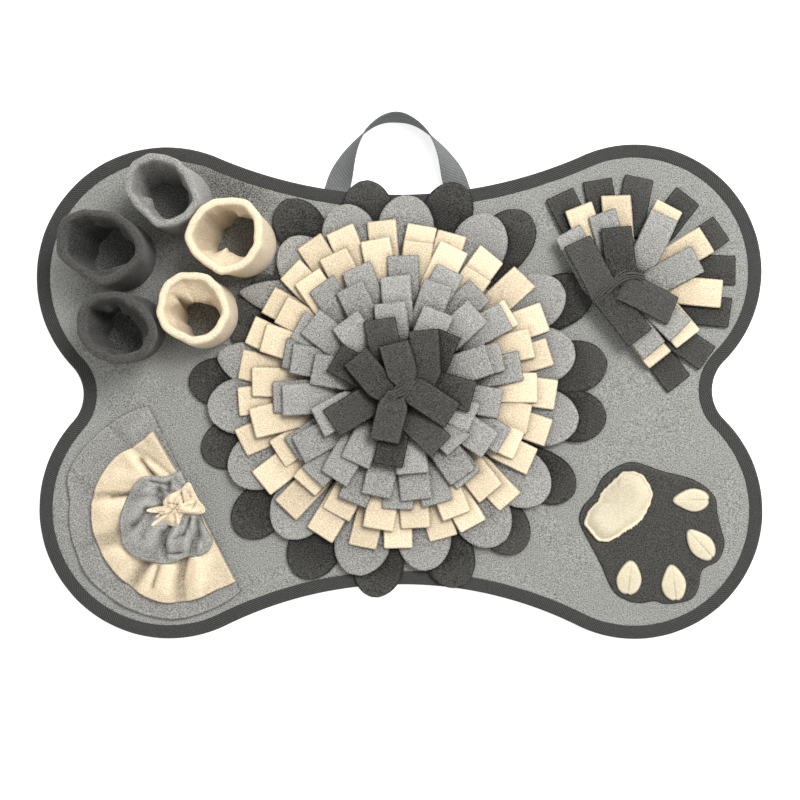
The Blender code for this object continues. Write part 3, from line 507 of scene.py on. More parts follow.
def lengths_along(points, closed=False):
    """Length of a line up to each of its points and, if closed, back to its first one."""
    steps = np.diff(points, axis=0)
    if closed:
        steps = np.concatenate((steps, points[:1] - points[-1:]))
    return np.concatenate(([0], np.cumsum(np.linalg.norm(steps, axis=1))))


def area_inside(points):
    """Area inside a closed line, by the cross products of neighbouring points."""
    x, y = points.T
    return abs(np.sum(x * np.roll(y, -1) - y * np.roll(x, -1))) / 2


def slab_corners(rows, columns):
    """Corner numbers of a slab's quads: its top, its underside and the wall round both."""
    index = np.arange(rows * columns).reshape(rows, columns)
    top = np.stack((index[:-1, :-1], index[1:, :-1], index[1:, 1:], index[:-1, 1:]), axis=-1)
    top = top.reshape(-1, 4)
    under = top[:, ::-1] + index.size
    border = np.concatenate(
        (index[:, 0], index[-1, 1:], index[-2::-1, -1], index[0, -2:0:-1])
    )
    after = np.roll(border, -1)
    wall = np.stack((border + index.size, after + index.size, after, border), axis=-1)
    return np.concatenate((top, under, wall))


def edge_dye(inset):
    """Painted light at a cut edge: a painted shadow line at the cut, and a painted highlight band
    just inside it.
    """
    return np.interp(inset, (0.0, 0.7, 1.3, 2.4, 4.2), (-8.0, -5.0, 1.6, 1.3, 0.0))


def fleece():
    """Thickness of one layer in millimetres."""
    return bpy.context.scene.snuffle_sizes.fleece / MM


def placed(name, data):
    """Object made of its data and put into the scene."""
    made = bpy.data.objects.new(name, data)
    bpy.context.scene.collection.objects.link(made)
    return made


class Skin:
    """Closed surfaces gathered into one mesh: points in millimetres, four-cornered faces,
    each corner's place on the flat cloth in millimetres, and each point's dye, which holds
    painted shade and painted highlights as well as the cloth's own tone."""

    def __init__(self):
        self.points, self.corners, self.laid, self.dyes = [], [], [], []
        self.count = 0

    def keep(self, points, corners, laid, dye):
        """Adds a closed surface, turned outwards if its volume comes out negative."""
        first, second, third, fourth = (points[corners[:, k]] for k in range(4))
        volume = np.einsum("ij,ij->", first, np.cross(second, third) + np.cross(third, fourth))
        if volume < 0:
            corners, laid = corners[:, ::-1], laid[:, ::-1]
        self.points.append(points)
        self.corners.append(corners + self.count)
        self.laid.append(laid)
        self.dyes.append(np.broadcast_to(dye, len(points)))
        self.count += len(points)

    def slabs(self, middle, half, laid, dye=0.0):
        """Sheets of cloth. Each one's middle surface is moved half its thickness to both
        sides along the cross product of its two slopes, and a wall closes its border."""
        number, rows, columns, _ = middle.shape
        up = unit(np.cross(np.gradient(middle, axis=1), np.gradient(middle, axis=2)))
        offset = np.broadcast_to(half, middle.shape[:3])[..., None] * up
        points = np.stack((middle + offset, middle - offset), axis=1).reshape(number, -1, 3)
        corners = slab_corners(rows, columns)
        places = np.stack((laid, laid), axis=1).reshape(number, -1, 2)
        all_corners = corners + points.shape[1] * np.arange(number)[:, None, None]
        dye = np.broadcast_to(dye, middle.shape[:3])
        # the underside of every sheet gets painted shade
        dyes = np.stack((dye, np.full_like(dye, UNDERSIDE_SHADE)), axis=1)
        self.keep(
            points.reshape(-1, 3), all_corners.reshape(-1, 4),
            places[:, corners].reshape(-1, 4, 2), dyes.ravel(),
        )

    def slab(self, plan, height, half, laid=None, dye=0.0):
        """One sheet of cloth, laid out as its plan unless another place is given."""
        laid = plan if laid is None else laid
        self.slabs(lifted(plan, height)[None], half, laid[None], dye)

    def between(self, plan, low, top, dye):
        """One sheet or pad from a lower to an upper height."""
        self.slab(plan, (top + low) / 2, (top - low) / 2, dye=dye)

    def ring(self, points, laid, dye=0.0):
        """Section carried round a path, both joined end to end. laid has one row and one
        column more than points, so that the pattern runs on over the joins."""
        rows, columns, _ = points.shape
        row, column = np.indices((rows, columns)).reshape(2, -1, 1)
        row, column = row + np.array((0, 1, 1, 0)), column + np.array((0, 0, 1, 1))
        corners = row % rows * columns + column % columns
        self.keep(points.reshape(-1, 3), corners, laid[row, column], dye)

    def piece(self, name, cloth, *nodes, sharp=40.0):
        """Object of everything gathered, in the place of the solids that it stands for."""
        points, corners = np.concatenate(self.points) * MM, np.concatenate(self.corners)
        mesh = bpy.data.meshes.new(name)
        mesh.vertices.add(len(points))
        mesh.vertices.foreach_set("co", points.ravel())
        mesh.loops.add(corners.size)
        mesh.loops.foreach_set("vertex_index", corners.ravel())
        mesh.polygons.add(len(corners))
        mesh.polygons.foreach_set("loop_start", 4 * np.arange(len(corners)))
        mesh.update(calc_edges=True)
        laid = mesh.uv_layers.new(name="laid")
        laid.data.foreach_set("uv", (np.concatenate(self.laid) * MM).ravel())
        dye = mesh.attributes.new("dye", "FLOAT", "POINT")
        dye.data.foreach_set("value", np.concatenate(self.dyes).astype(np.float32))
        mesh.shade_smooth()
        mesh.set_sharp_from_angle(angle=math.radians(sharp))
        mesh.materials.append(finish_of(cloth))
        made = placed(name, mesh)
        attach(made, "root")
        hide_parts(*(nodes or (name.removesuffix("_cloth"),)))
        return made


def disc(count):
    """Square grid bent into a disc: (u, v) goes to (u sqrt(1 - v v/2), v sqrt(1 - u u/2)).
    Gives share of the radius, direction in degrees, and the two numbers themselves."""
    line = np.linspace(-1.0, 1.0, count)
    u, v = np.meshgrid(line, line, indexing="ij")
    x, y = u * np.sqrt(1.0 - v * v / 2), v * np.sqrt(1.0 - u * u / 2)
    return np.hypot(x, y), np.degrees(np.arctan2(y, x)) % 360.0, x, y


def edge_radius(edge, degrees):
    """Smooth radius in a direction of a closed edge given by its directions and radii:
    between two rows it follows the cubic of Catmull and Rom."""
    rows = np.array(sorted((d % 360.0, r) for d, r in edge))
    known = np.concatenate((rows[-2:, 0] - 360, rows[:, 0], rows[:2, 0] + 360))
    radii = np.concatenate((rows[-2:, 1], rows[:, 1], rows[:2, 1]))
    i = np.clip(np.searchsorted(known, degrees, side="right") - 1, 1, len(known) - 3)
    share = (degrees - known[i]) / (known[i + 1] - known[i])
    return cubic_through((radii[i + k] for k in (-1, 0, 1, 2)), share)


def round_radius(radii, degrees):
    """Smooth radius in a direction from radii given at equal steps round a centre."""
    steps = np.arange(len(radii)) * 360.0 / len(radii)
    return edge_radius(tuple(zip(steps, radii)), degrees)


def open_radius(edge, degrees):
    """Smooth radius of an edge that has two ends: a mean of its straight stretches, weighed
    by a bell, that keeps both ends in place."""
    count, reach = 240, 7
    rows = np.array(edge)
    fine = np.linspace(rows[0, 0], rows[-1, 0], count)
    radii = np.interp(fine, rows[:, 0], rows[:, 1])
    kernel = np.hanning(2 * reach + 1)
    padded = np.concatenate((2 * radii[0] - radii[reach:0:-1], radii,
                             2 * radii[-1] - radii[-2:-reach - 2:-1]))
    return np.interp(degrees, fine, np.convolve(padded, kernel / kernel.sum(), mode="valid"))


def line_radius(line, degrees):
    """Distance in a direction from the origin to a closed line round it."""
    bearing = np.degrees(np.arctan2(line[:, 1], line[:, 0]))
    return np.interp(degrees, bearing, np.linalg.norm(line, axis=1), period=360.0)


def closed_curve(corners, steps):
    """Smooth closed line through corners, by the cubic of Catmull and Rom."""
    rows = (np.roll(np.array(corners), k, axis=0)[:, None] for k in (1, 0, -1, -2))
    return cubic_through(rows, (np.arange(steps) / steps)[:, None]).reshape(-1, 2)


# ---------------------------------------------------------------- panel, binding and handle


def waist_centre(lobe, following):
    """Middle of the hollow arc that touches both lobes, on the mat's outer side."""
    near, far = lobe.radius + lobe.waist, following.radius + lobe.waist
    a, b = np.array((lobe.x, lobe.y)), np.array((following.x, following.y))
    between = np.linalg.norm(b - a)
    along = (near**2 - far**2 + between**2) / (2 * between)
    way = (b - a) / between
    return a + along * way - math.sqrt(near**2 - along**2) * left_of(way)


def arc(centre, radius, start, sweep, step):
    """Points of an arc about a step apart, without its end, and their ways from its centre."""
    count = round(abs(sweep) * radius / step)
    way = way_of(np.degrees(start + sweep * np.arange(count) / count))
    return centre + radius * way, way


def outline(step):
    """Points of the bone's outline about a step apart, with their outward directions: the
    arc round each lobe and then the hollow arc of the waist that follows it."""
    middles = [np.array((lobe.x, lobe.y)) for lobe in LOBES]
    centres = [waist_centre(lobe, LOBES[(i + 1) % 4]) for i, lobe in enumerate(LOBES)]
    points, outward = [], []
    for i, lobe in enumerate(LOBES):
        start, end = (math.atan2(*(c - middles[i])[::-1]) for c in (centres[i - 1], centres[i]))
        place, way = arc(middles[i], lobe.radius, start, (end - start) % (2 * math.pi), step)
        points.append(place)
        outward.append(way)
        following = middles[(i + 1) % 4]
        start, end = (math.atan2(*(c - centres[i])[::-1]) for c in (middles[i], following))
        sweep = (end - start + math.pi) % (2 * math.pi) - math.pi
        place, way = arc(centres[i], lobe.waist, start, sweep, step)
        points.append(place)
        outward.append(-way)
    return np.concatenate(points), np.concatenate(outward)


def long_bells(ridges, plan):
    """Sum of bells, each one long along its own direction."""
    height = 0.0
    for x, y, half_long, half_wide, turn, tall in ridges:
        way, offset = way_of(turn), plan - (x, y)
        along, across = offset @ way, offset @ left_of(way)
        height = height + tall * np.exp(-((along / half_long) ** 2) - (across / half_wide) ** 2)
    return height


def relief(plan):
    """Height of the base cloth's ridges: a sum of long bells and of slow waves."""
    x, y = plan[..., 0], plan[..., 1]
    waves = 0.22 * np.sin(x / 23 + 1.3 * np.sin(y / 41)) * np.sin(y / 19 + np.sin(x / 37))
    return (waves + long_bells(RIDGES, plan)) * bpy.context.scene.snuffle_sizes.relief


def base_panel():
    """Disc stretched to the bone's outline. Its rim is thinned to go inside the binding."""
    points, outward = outline(PANEL_STEP)
    share, degrees, _, _ = disc(PANEL_GRID)
    radius = line_radius(points - PANEL_TUCK * outward, degrees)
    plan = polar((0.0, 0.0), share * radius, degrees)
    inset = (1.0 - share) * radius
    inside = smoothstep((inset - PANEL_RIM) / 8.0)
    low = PANEL_RIM_LOW * (1.0 - inside) + 0.05 * inside
    high = PANEL_RIM_TOP * (1.0 - inside) + PANEL_THICK * inside
    rise = relief(plan) * smoothstep((inset - BINDING_WIDTH) / 20.0)
    # dye: painted light and shade round the cups, painted shade on the floors inside them, and
    # painted shadow on the panel round their feet
    dye = long_bells(PANEL_LIGHT_AND_SHADE, plan)
    for cup in CUPS:
        away = np.linalg.norm(plan - (cup.x, cup.y), axis=-1)
        dye = dye - FLOOR_SHADE[cup.cloth] * smoothstep((cup.base - away) / 5.0)
        dye = dye - CUP_SHADOW * bump_at(np.maximum(away, cup.base), cup.base, SHADOW_REACH) * (
            away > cup.base)
    skin = Skin()
    skin.between(plan, low, high + np.clip(rise, *RIDGE_LIMITS), dye)
    made = skin.piece("base_panel_cloth", "base grey")
    float(area_inside(points)) * MM * MM


def edge_binding():
    """Folded tape: a C-shaped section with a round back, carried round the outline."""
    points, outward = outline(BINDING_STEP)
    top, layer, wide = BINDING_THICK, BINDING_LAYER, BINDING_WIDTH
    inner = (top - 2 * layer) / 2
    turn = np.radians(np.linspace(-90, 90, 9))
    back = [(top / 2 * (1 - math.cos(a)), top / 2 * (1 + math.sin(a))) for a in turn]
    fold = [(layer + inner * (1 - math.cos(a)), top / 2 + inner * math.sin(a)) for a in turn]
    section = np.array(
        [(wide - 0.3, 0.0), (wide * 0.6, 0.0)] + back
        + [(wide * 0.45, top + 0.1), (wide * 0.7, top + 0.15), (wide - 1.6, top),
           (wide - 0.3, top - 0.15), (wide, top - 0.6), (wide - 0.3, top - layer)]
        + fold[::-1] + [(wide - 0.3, layer), (wide, layer / 2)]
    )
    inset, height = section.T
    length, across = lengths_along(points, True), lengths_along(section, True)
    pucker = 1.0 + 0.05 * np.sin(length[:-1] / 5.1) + 0.05 * np.sin(length[:-1] / 13.7)
    plan = points[:, None] - inset[:, None] * outward[:, None]
    rise = np.where(height > top / 2, pucker[:, None], 1.0) * height
    skin = Skin()
    skin.ring(lifted(plan, rise), paired(length[:, None], across))
    add_stitches(skin, points, outward, length)
    made = skin.piece("edge_binding_cloth", "binding")


def add_stitches(skin, points, outward, length):
    """Short rounded bars of thread, one after the other along the tape's inner edge."""
    count = bpy.context.scene.snuffle_sizes.stitches
    at = (np.arange(count) + 0.5) * length[-1] / count
    rim = np.column_stack((points, outward))
    rim = np.concatenate((rim, rim[:1]))
    found = np.stack([np.interp(at, length, column) for column in rim.T], axis=-1)
    place, out = found[:, :2], unit(found[:, 2:])
    reach = STITCH_SHARE * length[-1] / count
    u = np.array((-1.0, -0.8, 0.0, 0.8, 1.0))[:, None]
    v = np.array((-1.0, 0.0, 1.0))
    plan = ((place - STITCH_INSET * out)[:, None, None]
            + reach * u[..., None] * left_of(out)[:, None, None]
            - STITCH_HALF_WIDE * v[:, None] * out[:, None, None])
    height = BINDING_THICK + 0.2 - 0.25 * np.abs(u) ** 3 - 0.1 * np.abs(v)
    half = STITCH_HALF_THICK * (1 - 0.6 * np.abs(u) ** 4) * (1 - 0.5 * np.abs(v))
    skin.slabs(lifted(plan, height), half, np.zeros_like(plan), dye=0.25)


def carry_handle():
    """Ribbed webbing that lies flat at its feet and turns on edge round the arch, which is
    a cubic curve of four control points."""
    left, right = np.array(HANDLE_FEET)
    leans = np.array(HANDLE_LEANS)
    control = np.array((left, left + leans[0], right + leans[1], right))
    t = np.linspace(0.0, 1.0, ARCH_STEPS)[:, None]
    s = 1.0 - t
    steps = np.diff(control, axis=0)
    heading = s * s * steps[0] + 2 * s * t * steps[1] + t * t * steps[2]
    twist = mean_along(np.interp(np.minimum(t, s)[:, 0], *zip(*HANDLE_TWIST)), TWIST_MEAN)
    tail = np.linspace(1.0, 0.0, TAIL_STEPS, endpoint=False)[:, None] * HANDLE_TAIL
    ways = unit(leans)
    place = np.concatenate((left - tail * ways[0], bezier(t, *control),
                            (right - tail * ways[1])[::-1]))
    heading = unit(np.concatenate((np.tile(ways[0], (TAIL_STEPS, 1)), heading,
                                   np.tile(-ways[1], (TAIL_STEPS, 1)))))
    twist = np.radians(np.pad(twist, TAIL_STEPS, mode="edge"))[:, None]
    wide = np.column_stack((left_of(heading) * np.cos(twist), np.sin(twist)))
    thick = np.cross(wide, lifted(heading, 0.0))
    rise = (WEBBING_WIDTH * np.abs(wide[:, 2]) + WEBBING_THICK * np.abs(thick[:, 2])) / 2
    v = np.linspace(-1.0, 1.0, RIB_STEPS)
    middle = lifted(place, rise)[:, None] + WEBBING_WIDTH / 2 * v[:, None] * wide[:, None]
    ribs = 0.5 + 0.5 * np.cos(2 * np.pi * v * WEBBING_RIBS)
    half = (WEBBING_THICK / 2 - RIB_DEPTH * (1 - ribs)) * np.where(np.abs(v) > 0.97, 0.6, 1.0)
    along = lengths_along(place)
    skin = Skin()
    skin.slabs(middle[None], half, paired(along[:, None], WEBBING_WIDTH / 2 * v)[None])
    made = skin.piece("carry_handle_webbing", "webbing", "carry_handle")


# ---------------------------------------------------------------- fringe and petals

# Steps along a strip, along a petal and across both, closer together where they bend most
STRIP_U = np.array((0, 0.03, 0.07, 0.12, 0.18, 0.25, 0.33, 0.42, 0.51, 0.6, 0.69, 0.78, 0.86,
                    0.92, 0.96, 0.982, 0.994, 1.0))
PETAL_U = 1.0 - (1.0 - np.linspace(0.0, 1.0, 26)) ** 1.7
ACROSS = np.array((-1.0, -0.965, -0.88, -0.7, -0.45, -0.2, 0.0, 0.2, 0.45, 0.7, 0.88, 0.965,
                   1.0))
FINE_ALONG, FINE_ACROSS = 34, 23  # numbers of steps of a dark strip
# Strands of a ring. u: shares of the way along. level: how much higher each lies. start, along,
# end: distances from the ring's centre. offset: of its middle line aside. out, side: its ways.
Strands = namedtuple("Strands", "centre u level start along end offset width out side draws pinch")


def finer(steps, count):
    """Steps spread anew, so that there are more of them and as close at the ends."""
    return np.interp(np.linspace(0, len(steps) - 1, count), np.arange(len(steps)), steps)


def cup_limit(centre, degrees, tip):
    """How far each petal can run before it meets a cup: up to where its middle line enters
    the circle round the cup's foot."""
    way = way_of(degrees)
    reach = np.array(tip, float)
    for cup in CUPS:
        offset = np.array((cup.x, cup.y)) - centre
        along, across = way @ offset, np.abs(left_of(way) @ offset)
        keep = cup.base + PETAL_ROOM
        stop = along - np.sqrt(np.maximum(keep**2 - across**2, 0.0))
        hits = (along > 0) & (across < keep)
        reach = np.where(hits, np.minimum(reach, stop), reach)
    return reach


def lay_strands(ring, centre, draw):
    """Plan of a ring's strands: where each starts and ends, its way and its width. A strip
    flares from its foot, and a petal swells and ends in a half circle."""
    tips = sorted((Tip(*row) for row in ring.tips), key=lambda row: row.bearing % 360.0)
    bearing, tip, heading, pinch, tuck = np.array(
        [row if row.heading is not None else row._replace(heading=row.bearing)
         for row in tips], float).T
    count = len(bearing)
    loose = bpy.context.scene.snuffle_sizes.looseness
    draws = loose * draw.uniform(-1, 1, (9, count))
    cut, yaw = draws[5], draws[8]
    if ring.petal:
        tip = np.where(pinch > 0, tip, cup_limit(centre, bearing, tip))
    sway = PETAL_YAW if ring.petal else STRIP_YAW
    heading = heading + np.where(heading == bearing, sway, 0.0) * yaw
    turn = np.radians(bearing - heading)
    end, offset = tip * np.cos(turn), tip * np.sin(turn)
    start = np.sqrt(np.maximum(ring.root**2 - offset**2, 0.0)) - tuck
    u = PETAL_U if ring.petal else STRIP_U
    if ring.cloth == "charcoal" and not ring.petal:
        u = finer(u, FINE_ALONG)
    start, end, offset, fold = (part[:, None] for part in (start, end, offset, pinch))
    along = bezier(u, start, start + RISE_RUN, start + CREST_SHARE * (end - start), end)
    level = np.where(np.arange(count) % 2, STRAND_LEVEL, -STRAND_LEVEL)
    if count % 2:
        level[-1] = 0.0
    level = np.zeros((count, 1)) if ring.petal else level[:, None]
    widest = ring.width * (1 + UNEVEN_WIDTH * cut)[:, None]
    left = end - along
    if ring.petal:
        swell = smoothstep((along - start) / (0.5 * (end - start)))
        past = np.clip(1 - left / ((0.62 + 0.5 * fold) * widest), 0, 1)
        width = (ring.foot + (widest - ring.foot) * swell) * (1 - 0.4 * fold)
        width = width * (1 - 0.995 * past**2) ** (0.5 + 0.35 * fold)
    else:
        width = ring.foot + (widest - ring.foot) * smoothstep((along - start) / STRIP_FLARE)
        near = np.clip(STRIP_CORNER - left, 0, None)
        width = width - 2 * (STRIP_CORNER - np.sqrt(STRIP_CORNER**2 - near**2))
        width = width * (1 - 0.35 * fold)
    out = way_of(heading)
    return Strands(centre, u, level, start, along, end, offset, width, out, left_of(out),
                   draws, pinch)


def shade_beside(plan, strands, which):
    """Share of light lost beside some of the strands that lie higher: it falls off with the
    distance from their edges."""
    lost = np.zeros(plan.shape[:-1])
    for high in which:
        from_high = plan - strands.centre - strands.offset[high] * strands.side[high]
        forward = from_high @ strands.out[high]
        half = np.interp(forward, strands.along[high], strands.width[high] / 2)
        aside = np.maximum(np.abs(from_high @ strands.side[high]) - half, 0.0)
        past = np.maximum(forward - strands.end[high], 0.0)
        before = np.maximum(strands.start[high] - forward, 0.0)
        lost = np.maximum(lost, np.exp(-(aside + past + before) / SHADE_REACH))
    return lost


def add_strands(skin, ring, strands, above, foot):
    """Strands of a ring. Each one's middle line is a cubic curve in distance and height. They
    are bent, rolled and cut a little unevenly, and every other one lies higher than its
    neighbours. above: the rings whose strands lie on these. Gives the area of their cloth."""
    centre, u, level, start, along, end, offset, width, out, side, draws, pinch = strands
    bend, roll, skew, sag, lift, cut, dye, wave, _ = (row[:, None, None] for row in draws)
    count, left, raised = len(level), (end - along)[..., None], lift[..., 0]
    crest = ring.crest + level
    height = bezier(u, foot, crest, crest + CREST_LIFT + CREST_UNEVEN * raised,
                    ring.end + END_UNEVEN * raised + 0.4 * level)[..., None]
    v = ACROSS if len(u) < FINE_ALONG else finer(ACROSS, FINE_ACROSS)
    uu, half_width, fold = u[:, None], width[..., None] / 2, pinch[:, None, None]
    skewed = STRAND_SKEW * skew * v * half_width * uu**3
    across = v * half_width + STRAND_BEND * bend * (along - start)[..., None] * uu**2
    plan = (centre + (along[..., None] + skewed)[..., None] * out[:, None, None]
            + (across + offset[..., None])[..., None] * side[:, None, None])
    lean = np.sin(np.radians(STRAND_ROLL * roll)) * across * uu
    droop = (STRAND_DROOP + STRAND_SAG * sag) * v**2 * uu
    ripple = 0.25 * np.sin(5.0 * uu + 3.0 * wave) * np.sin(2.6 * v + 4.0 * bend) * uu
    height = height + lean - droop + ripple
    if ring.petal:
        height = height + PINCH_RISE * fold * bump_at(uu, 0.82, 0.16) * (1 - v * v)
    thin_end = np.interp(left, (0.0, 0.4, 1.2, 3.0), (0.45, 0.75, 0.96, 1))
    thin_edge = np.interp(np.abs(v), (0.7, 0.88, 0.965, 1.0), (1.0, 0.96, 0.8, 0.45))
    # lost: share of painted shadow beside higher strands and round the strands of the rings above
    lost = np.zeros(plan.shape[:-1])
    for low in range(count):
        beside = [(low + step) % count for step in (1, -1)]
        higher = [high for high in beside if level[high] > level[low]]
        lost[low] = shade_beside(plan[low], strands, higher)
    for upper in above:
        lost = np.maximum(lost, shade_beside(plan, upper, range(len(upper.level))))
    gain = GREY_GAIN if ring.cloth == "light grey" else 0.0
    # dye: the strand's own tone and the grey's gain, with painted shade on folded petals and below
    # the next ring, painted light on higher strands and painted shade on lower ones, a painted
    # shadow line and highlight at the edges, and painted shadow beside higher strands
    deep = (1.2 * dye - 1.5 * fold + 0.8 * level[..., None] + gain
            - ring.under * smoothstep((left - 9.0) / 26.0)
            + edge_dye(np.minimum(left, half_width * (1 - np.abs(v)))) - STRAND_SHADE * lost)
    skin.slabs(lifted(plan, height), fleece() / 2 * thin_edge * thin_end,
               paired(along[..., None], across), dye=deep)
    return float(np.sum((end - start) * ring.width * (1 + UNEVEN_WIDTH * cut[..., 0])))


def add_backing(skin, ring, centre, sweep):
    """Narrow band that the strands are cut from, from one direction to another. A whole
    ring is a rounded rectangle carried round, and a part of one is a flat sheet."""
    inner, outer = ring.root - BACKING_HALF, ring.root + BACKING_HALF
    if sweep is None:
        section = np.array(((inner, SEAT), (outer, SEAT), (outer, BACKING_TOP - 0.4),
                            (outer - 0.4, BACKING_TOP), (inner + 0.4, BACKING_TOP),
                            (inner, BACKING_TOP - 0.4)))
        way = way_of(np.linspace(0.0, 360.0, RING_STEPS, endpoint=False))
        plan = centre + section[:, :1] * way[:, None]
        skin.ring(lifted(plan, section[:, 1]), np.zeros((RING_STEPS + 1, len(section) + 1, 2)))
        return
    plan = centre + np.linspace(inner, outer, 5)[:, None, None] * way_of(np.linspace(*sweep, 60))
    skin.slab(plan, (SEAT + BACKING_TOP) / 2, BACKING_THICK / 2)


def add_seam(skin, centre, height, half_width, line):
    """Pinched pleats along a line: five ridges that run together at both ends."""
    knots = np.array(line, float)
    at = np.linspace(0, len(knots) - 1, SEAM_STEPS)
    path = np.stack([np.interp(at, np.arange(len(knots)), column) for column in knots.T], -1)
    path = np.apply_along_axis(mean_along, 0, path, 3)
    side = left_of(unit(np.gradient(path, axis=0)))
    t = np.linspace(-1, 1, SEAM_STEPS)[:, None]
    v = np.linspace(-1, 1, PLEAT_STEPS)
    reach = half_width * np.sqrt(1 - 0.9 * np.abs(t) ** 3) * (1 + 0.18 * np.sin(7 * t + 1))
    plan = centre + path[:, None] + (reach * v)[..., None] * side[:, None]
    crease = np.abs(np.cos(2 * np.pi * (v + 0.09 * np.sin(4 * t + 3 * v))))
    rise = height + 1.9 * (crease**0.8 - 0.5) * (1 - 0.4 * v * v) - 3.0 * v**4 - 2.5 * t**4
    # dye: painted shade in the pleats' creases and painted light on their ridges
    skin.slab(plan, rise, SEAM_THICK / 2,
              dye=np.clip(2.0 + 30.0 * np.minimum(crease - 0.8, 0.0), -8, 2.0))


def fringe(ring, strands, above, sweep=None, seam=None):
    """Ring of strands on its backing, with a seam over their feet if one is given."""
    skin = Skin()
    add_backing(skin, ring, strands.centre, sweep)
    foot = seam[0] - SEAM_OVER if seam else BACKING_TOP
    cut = add_strands(skin, ring, strands, above, foot)
    if seam:
        add_seam(skin, strands.centre, *seam)
    made = skin.piece(ring.name + "_cloth", ring.cloth)
    round_length = 2 * math.pi * ring.root
    cut += round_length * 2 * BACKING_HALF
    deep = max(row[1] for row in ring.tips) - ring.root + 2 * BACKING_HALF
    long_side = max(round_length, cut / deep * CUTTING_WASTE)
    deep * MM
    long_side * MM
    cut * MM * MM


# ---------------------------------------------------------------- cups


def fleece_cup(cup):
    """Tube from a round foot to a folded rim. Its wall goes up outside, over the rolled hem
    and down inside. Both sides blend from their lower to their upper outline."""
    degrees = np.linspace(0.0, 360.0, CUP_ROUND, endpoint=False)
    angle, way = np.radians(degrees), way_of(degrees)
    up = np.linspace(0.0, 1.0, CUP_UP)[:, None]
    blend = smoothstep(up)
    foot, rim_middle = np.array((cup.x, cup.y)), np.array((cup.rim_x, cup.rim_y))
    floor_middle = np.array((cup.floor_x, cup.floor_y))
    phase = 0.01 * (cup.x + cup.y)
    wrinkle = sum(tall * np.cos(waves * angle + 1.7 * waves + phase + 0.9 * np.sin(3 * up))
                  for waves, tall in CUP_WRINKLES) * blend
    hem = HEM_SWELL * bump_at(up, *HEM_PLACE)
    rim = round_radius(cup.rim, degrees)
    below_hem = rim - HEM_WIDE
    rim = rim + wrinkle + CUP_BULGE * blend + hem
    slumped = smoothstep((0.97 - up) / 0.27)
    folds = sum(depth * bump_at(apart(degrees, direction), 0.0, spread)
                for direction, depth, spread in CUP_FOLDS[cup.name])
    narrow = np.minimum(round_radius(cup.mouth, degrees) - folds, below_hem)
    mouth = below_hem + (np.maximum(narrow, NARROWEST) - below_hem) * slumped
    mouth = mouth + wrinkle - hem
    floor = cup.floor * (1 + 0.06 * np.cos(3 * angle + cup.x))
    floor = floor - FLOOR_DENT * np.cos(4 * angle + 0.7) ** 2
    inward = blend[..., None] ** 0.8
    outer = ((foot + cup.base * way) * (1 - blend[..., None])
             + (rim_middle + rim[..., None] * way) * blend[..., None])
    inner = ((floor_middle + floor[..., None] * way) * (1 - inward)
             + (rim_middle + mouth[..., None] * way) * inward)
    over = np.linspace(0, math.pi, CUP_OVER)[1:-1, None]
    share = ((1 + np.cos(over)) / 2)[..., None]
    plan = np.concatenate((outer, outer[-1] * share + inner[-1] * (1 - share), inner[::-1]))
    sway = (0.9 * np.sin(2 * angle + cup.x) + 0.6 * np.sin(3 * angle + cup.y)) - 1.2
    top = SEAT + CUP_HEIGHT - RIM_HEIGHT + sway
    climb = SEAT + (top - SEAT) * up
    height = np.concatenate((climb, top + RIM_HEIGHT * np.sin(over) ** 0.8, climb[::-1]))
    # painted highlight on the rim; inside, painted shade that deepens downwards, with a painted
    # dark band under the slumped hem, painted light on folds that stand in and painted shade on
    # those that go out; outside, painted shade towards the foot
    nap = RIM_HIGHLIGHT * bump_at(up, 1.0, 0.06)
    inside = nap - CUP_SHADE * (0.3 * slumped + 0.7 * (1 - up)) + slumped * (
        0.4 * folds - 0.7 * bump_at(up, 0.72, 0.1))
    deep = [np.broadcast_to(part, (len(part), len(degrees))) for part in (
        nap - 1.5 * (1 - up), np.full_like(over, RIM_HIGHLIGHT), inside[::-1])]
    around = np.linspace(0, 2 * math.pi * cup.base, len(degrees) + 1)
    length = np.linspace(0, 2 * CUP_HEIGHT, len(plan) + 1)
    skin = Skin()
    skin.ring(lifted(plan, height), paired(around, length[:, None]),
              dye=np.concatenate(deep).ravel() + CUP_TONE[cup.cloth])
    made = skin.piece(cup.name + "_cloth", cup.cloth, sharp=80.0)
    2 * math.pi * cup.base * MM


# ---------------------------------------------------------------- rosette


def half_round(edge, inner, rows, columns):
    """Grid from the inner end to the edge of a half-round piece of cloth: its directions,
    its share of the way out, its radius, its plan, and how far it lies inside the edges."""
    degrees = np.linspace(edge[0][0], edge[-1][0], columns)
    t = 1.0 - (1.0 - np.linspace(0.0, 1.0, rows)[:, None]) ** 1.3
    radius = open_radius(edge, degrees) * (inner + (1.0 - inner) * t)
    end = np.radians(np.minimum(degrees - degrees[0], degrees[-1] - degrees))
    inset = np.minimum(radius[-1] - radius, radius * np.sin(np.minimum(end, 1.5)))
    return degrees, t, radius, polar(ROSETTE_CENTRE, radius, degrees), inset


def folded(folds, degrees, t):
    """Height of all folds: each is a bell across its direction that grows outwards."""
    rise = 0.0
    for direction, spread, height, start in folds:
        grown = smoothstep((t - start + 0.25) / 0.75)
        middle = direction - FOLD_SWIRL * (1 - t)
        rise = rise + height * grown * bump_at(degrees, middle, spread)
    return rise


def hollows(height, reach):
    """How far each point lies above the mean of the points up to some grid steps away, which
    is below zero in a crease and above it on a ridge."""
    mean = height
    for axis in (0, 1):
        mean = np.apply_along_axis(mean_along, axis, mean, reach)
    return height - mean


def creased(plan, creases):
    """Height of all creases: each is a bell across its line that fades past both ends."""
    rise = 0.0
    for x, y, to_x, to_y, height, spread in creases:
        start, end = np.array((x, y)), np.array((to_x, to_y))
        length = np.linalg.norm(end - start)
        way, offset = (end - start) / length, plan - (start + end) / 2
        past = np.maximum(np.abs(offset @ way) - length / 2, 0.0)
        across = offset @ left_of(way)
        rise = rise + height * np.exp(-((across / spread) ** 2) - (past / spread / 1.4) ** 2)
    return rise


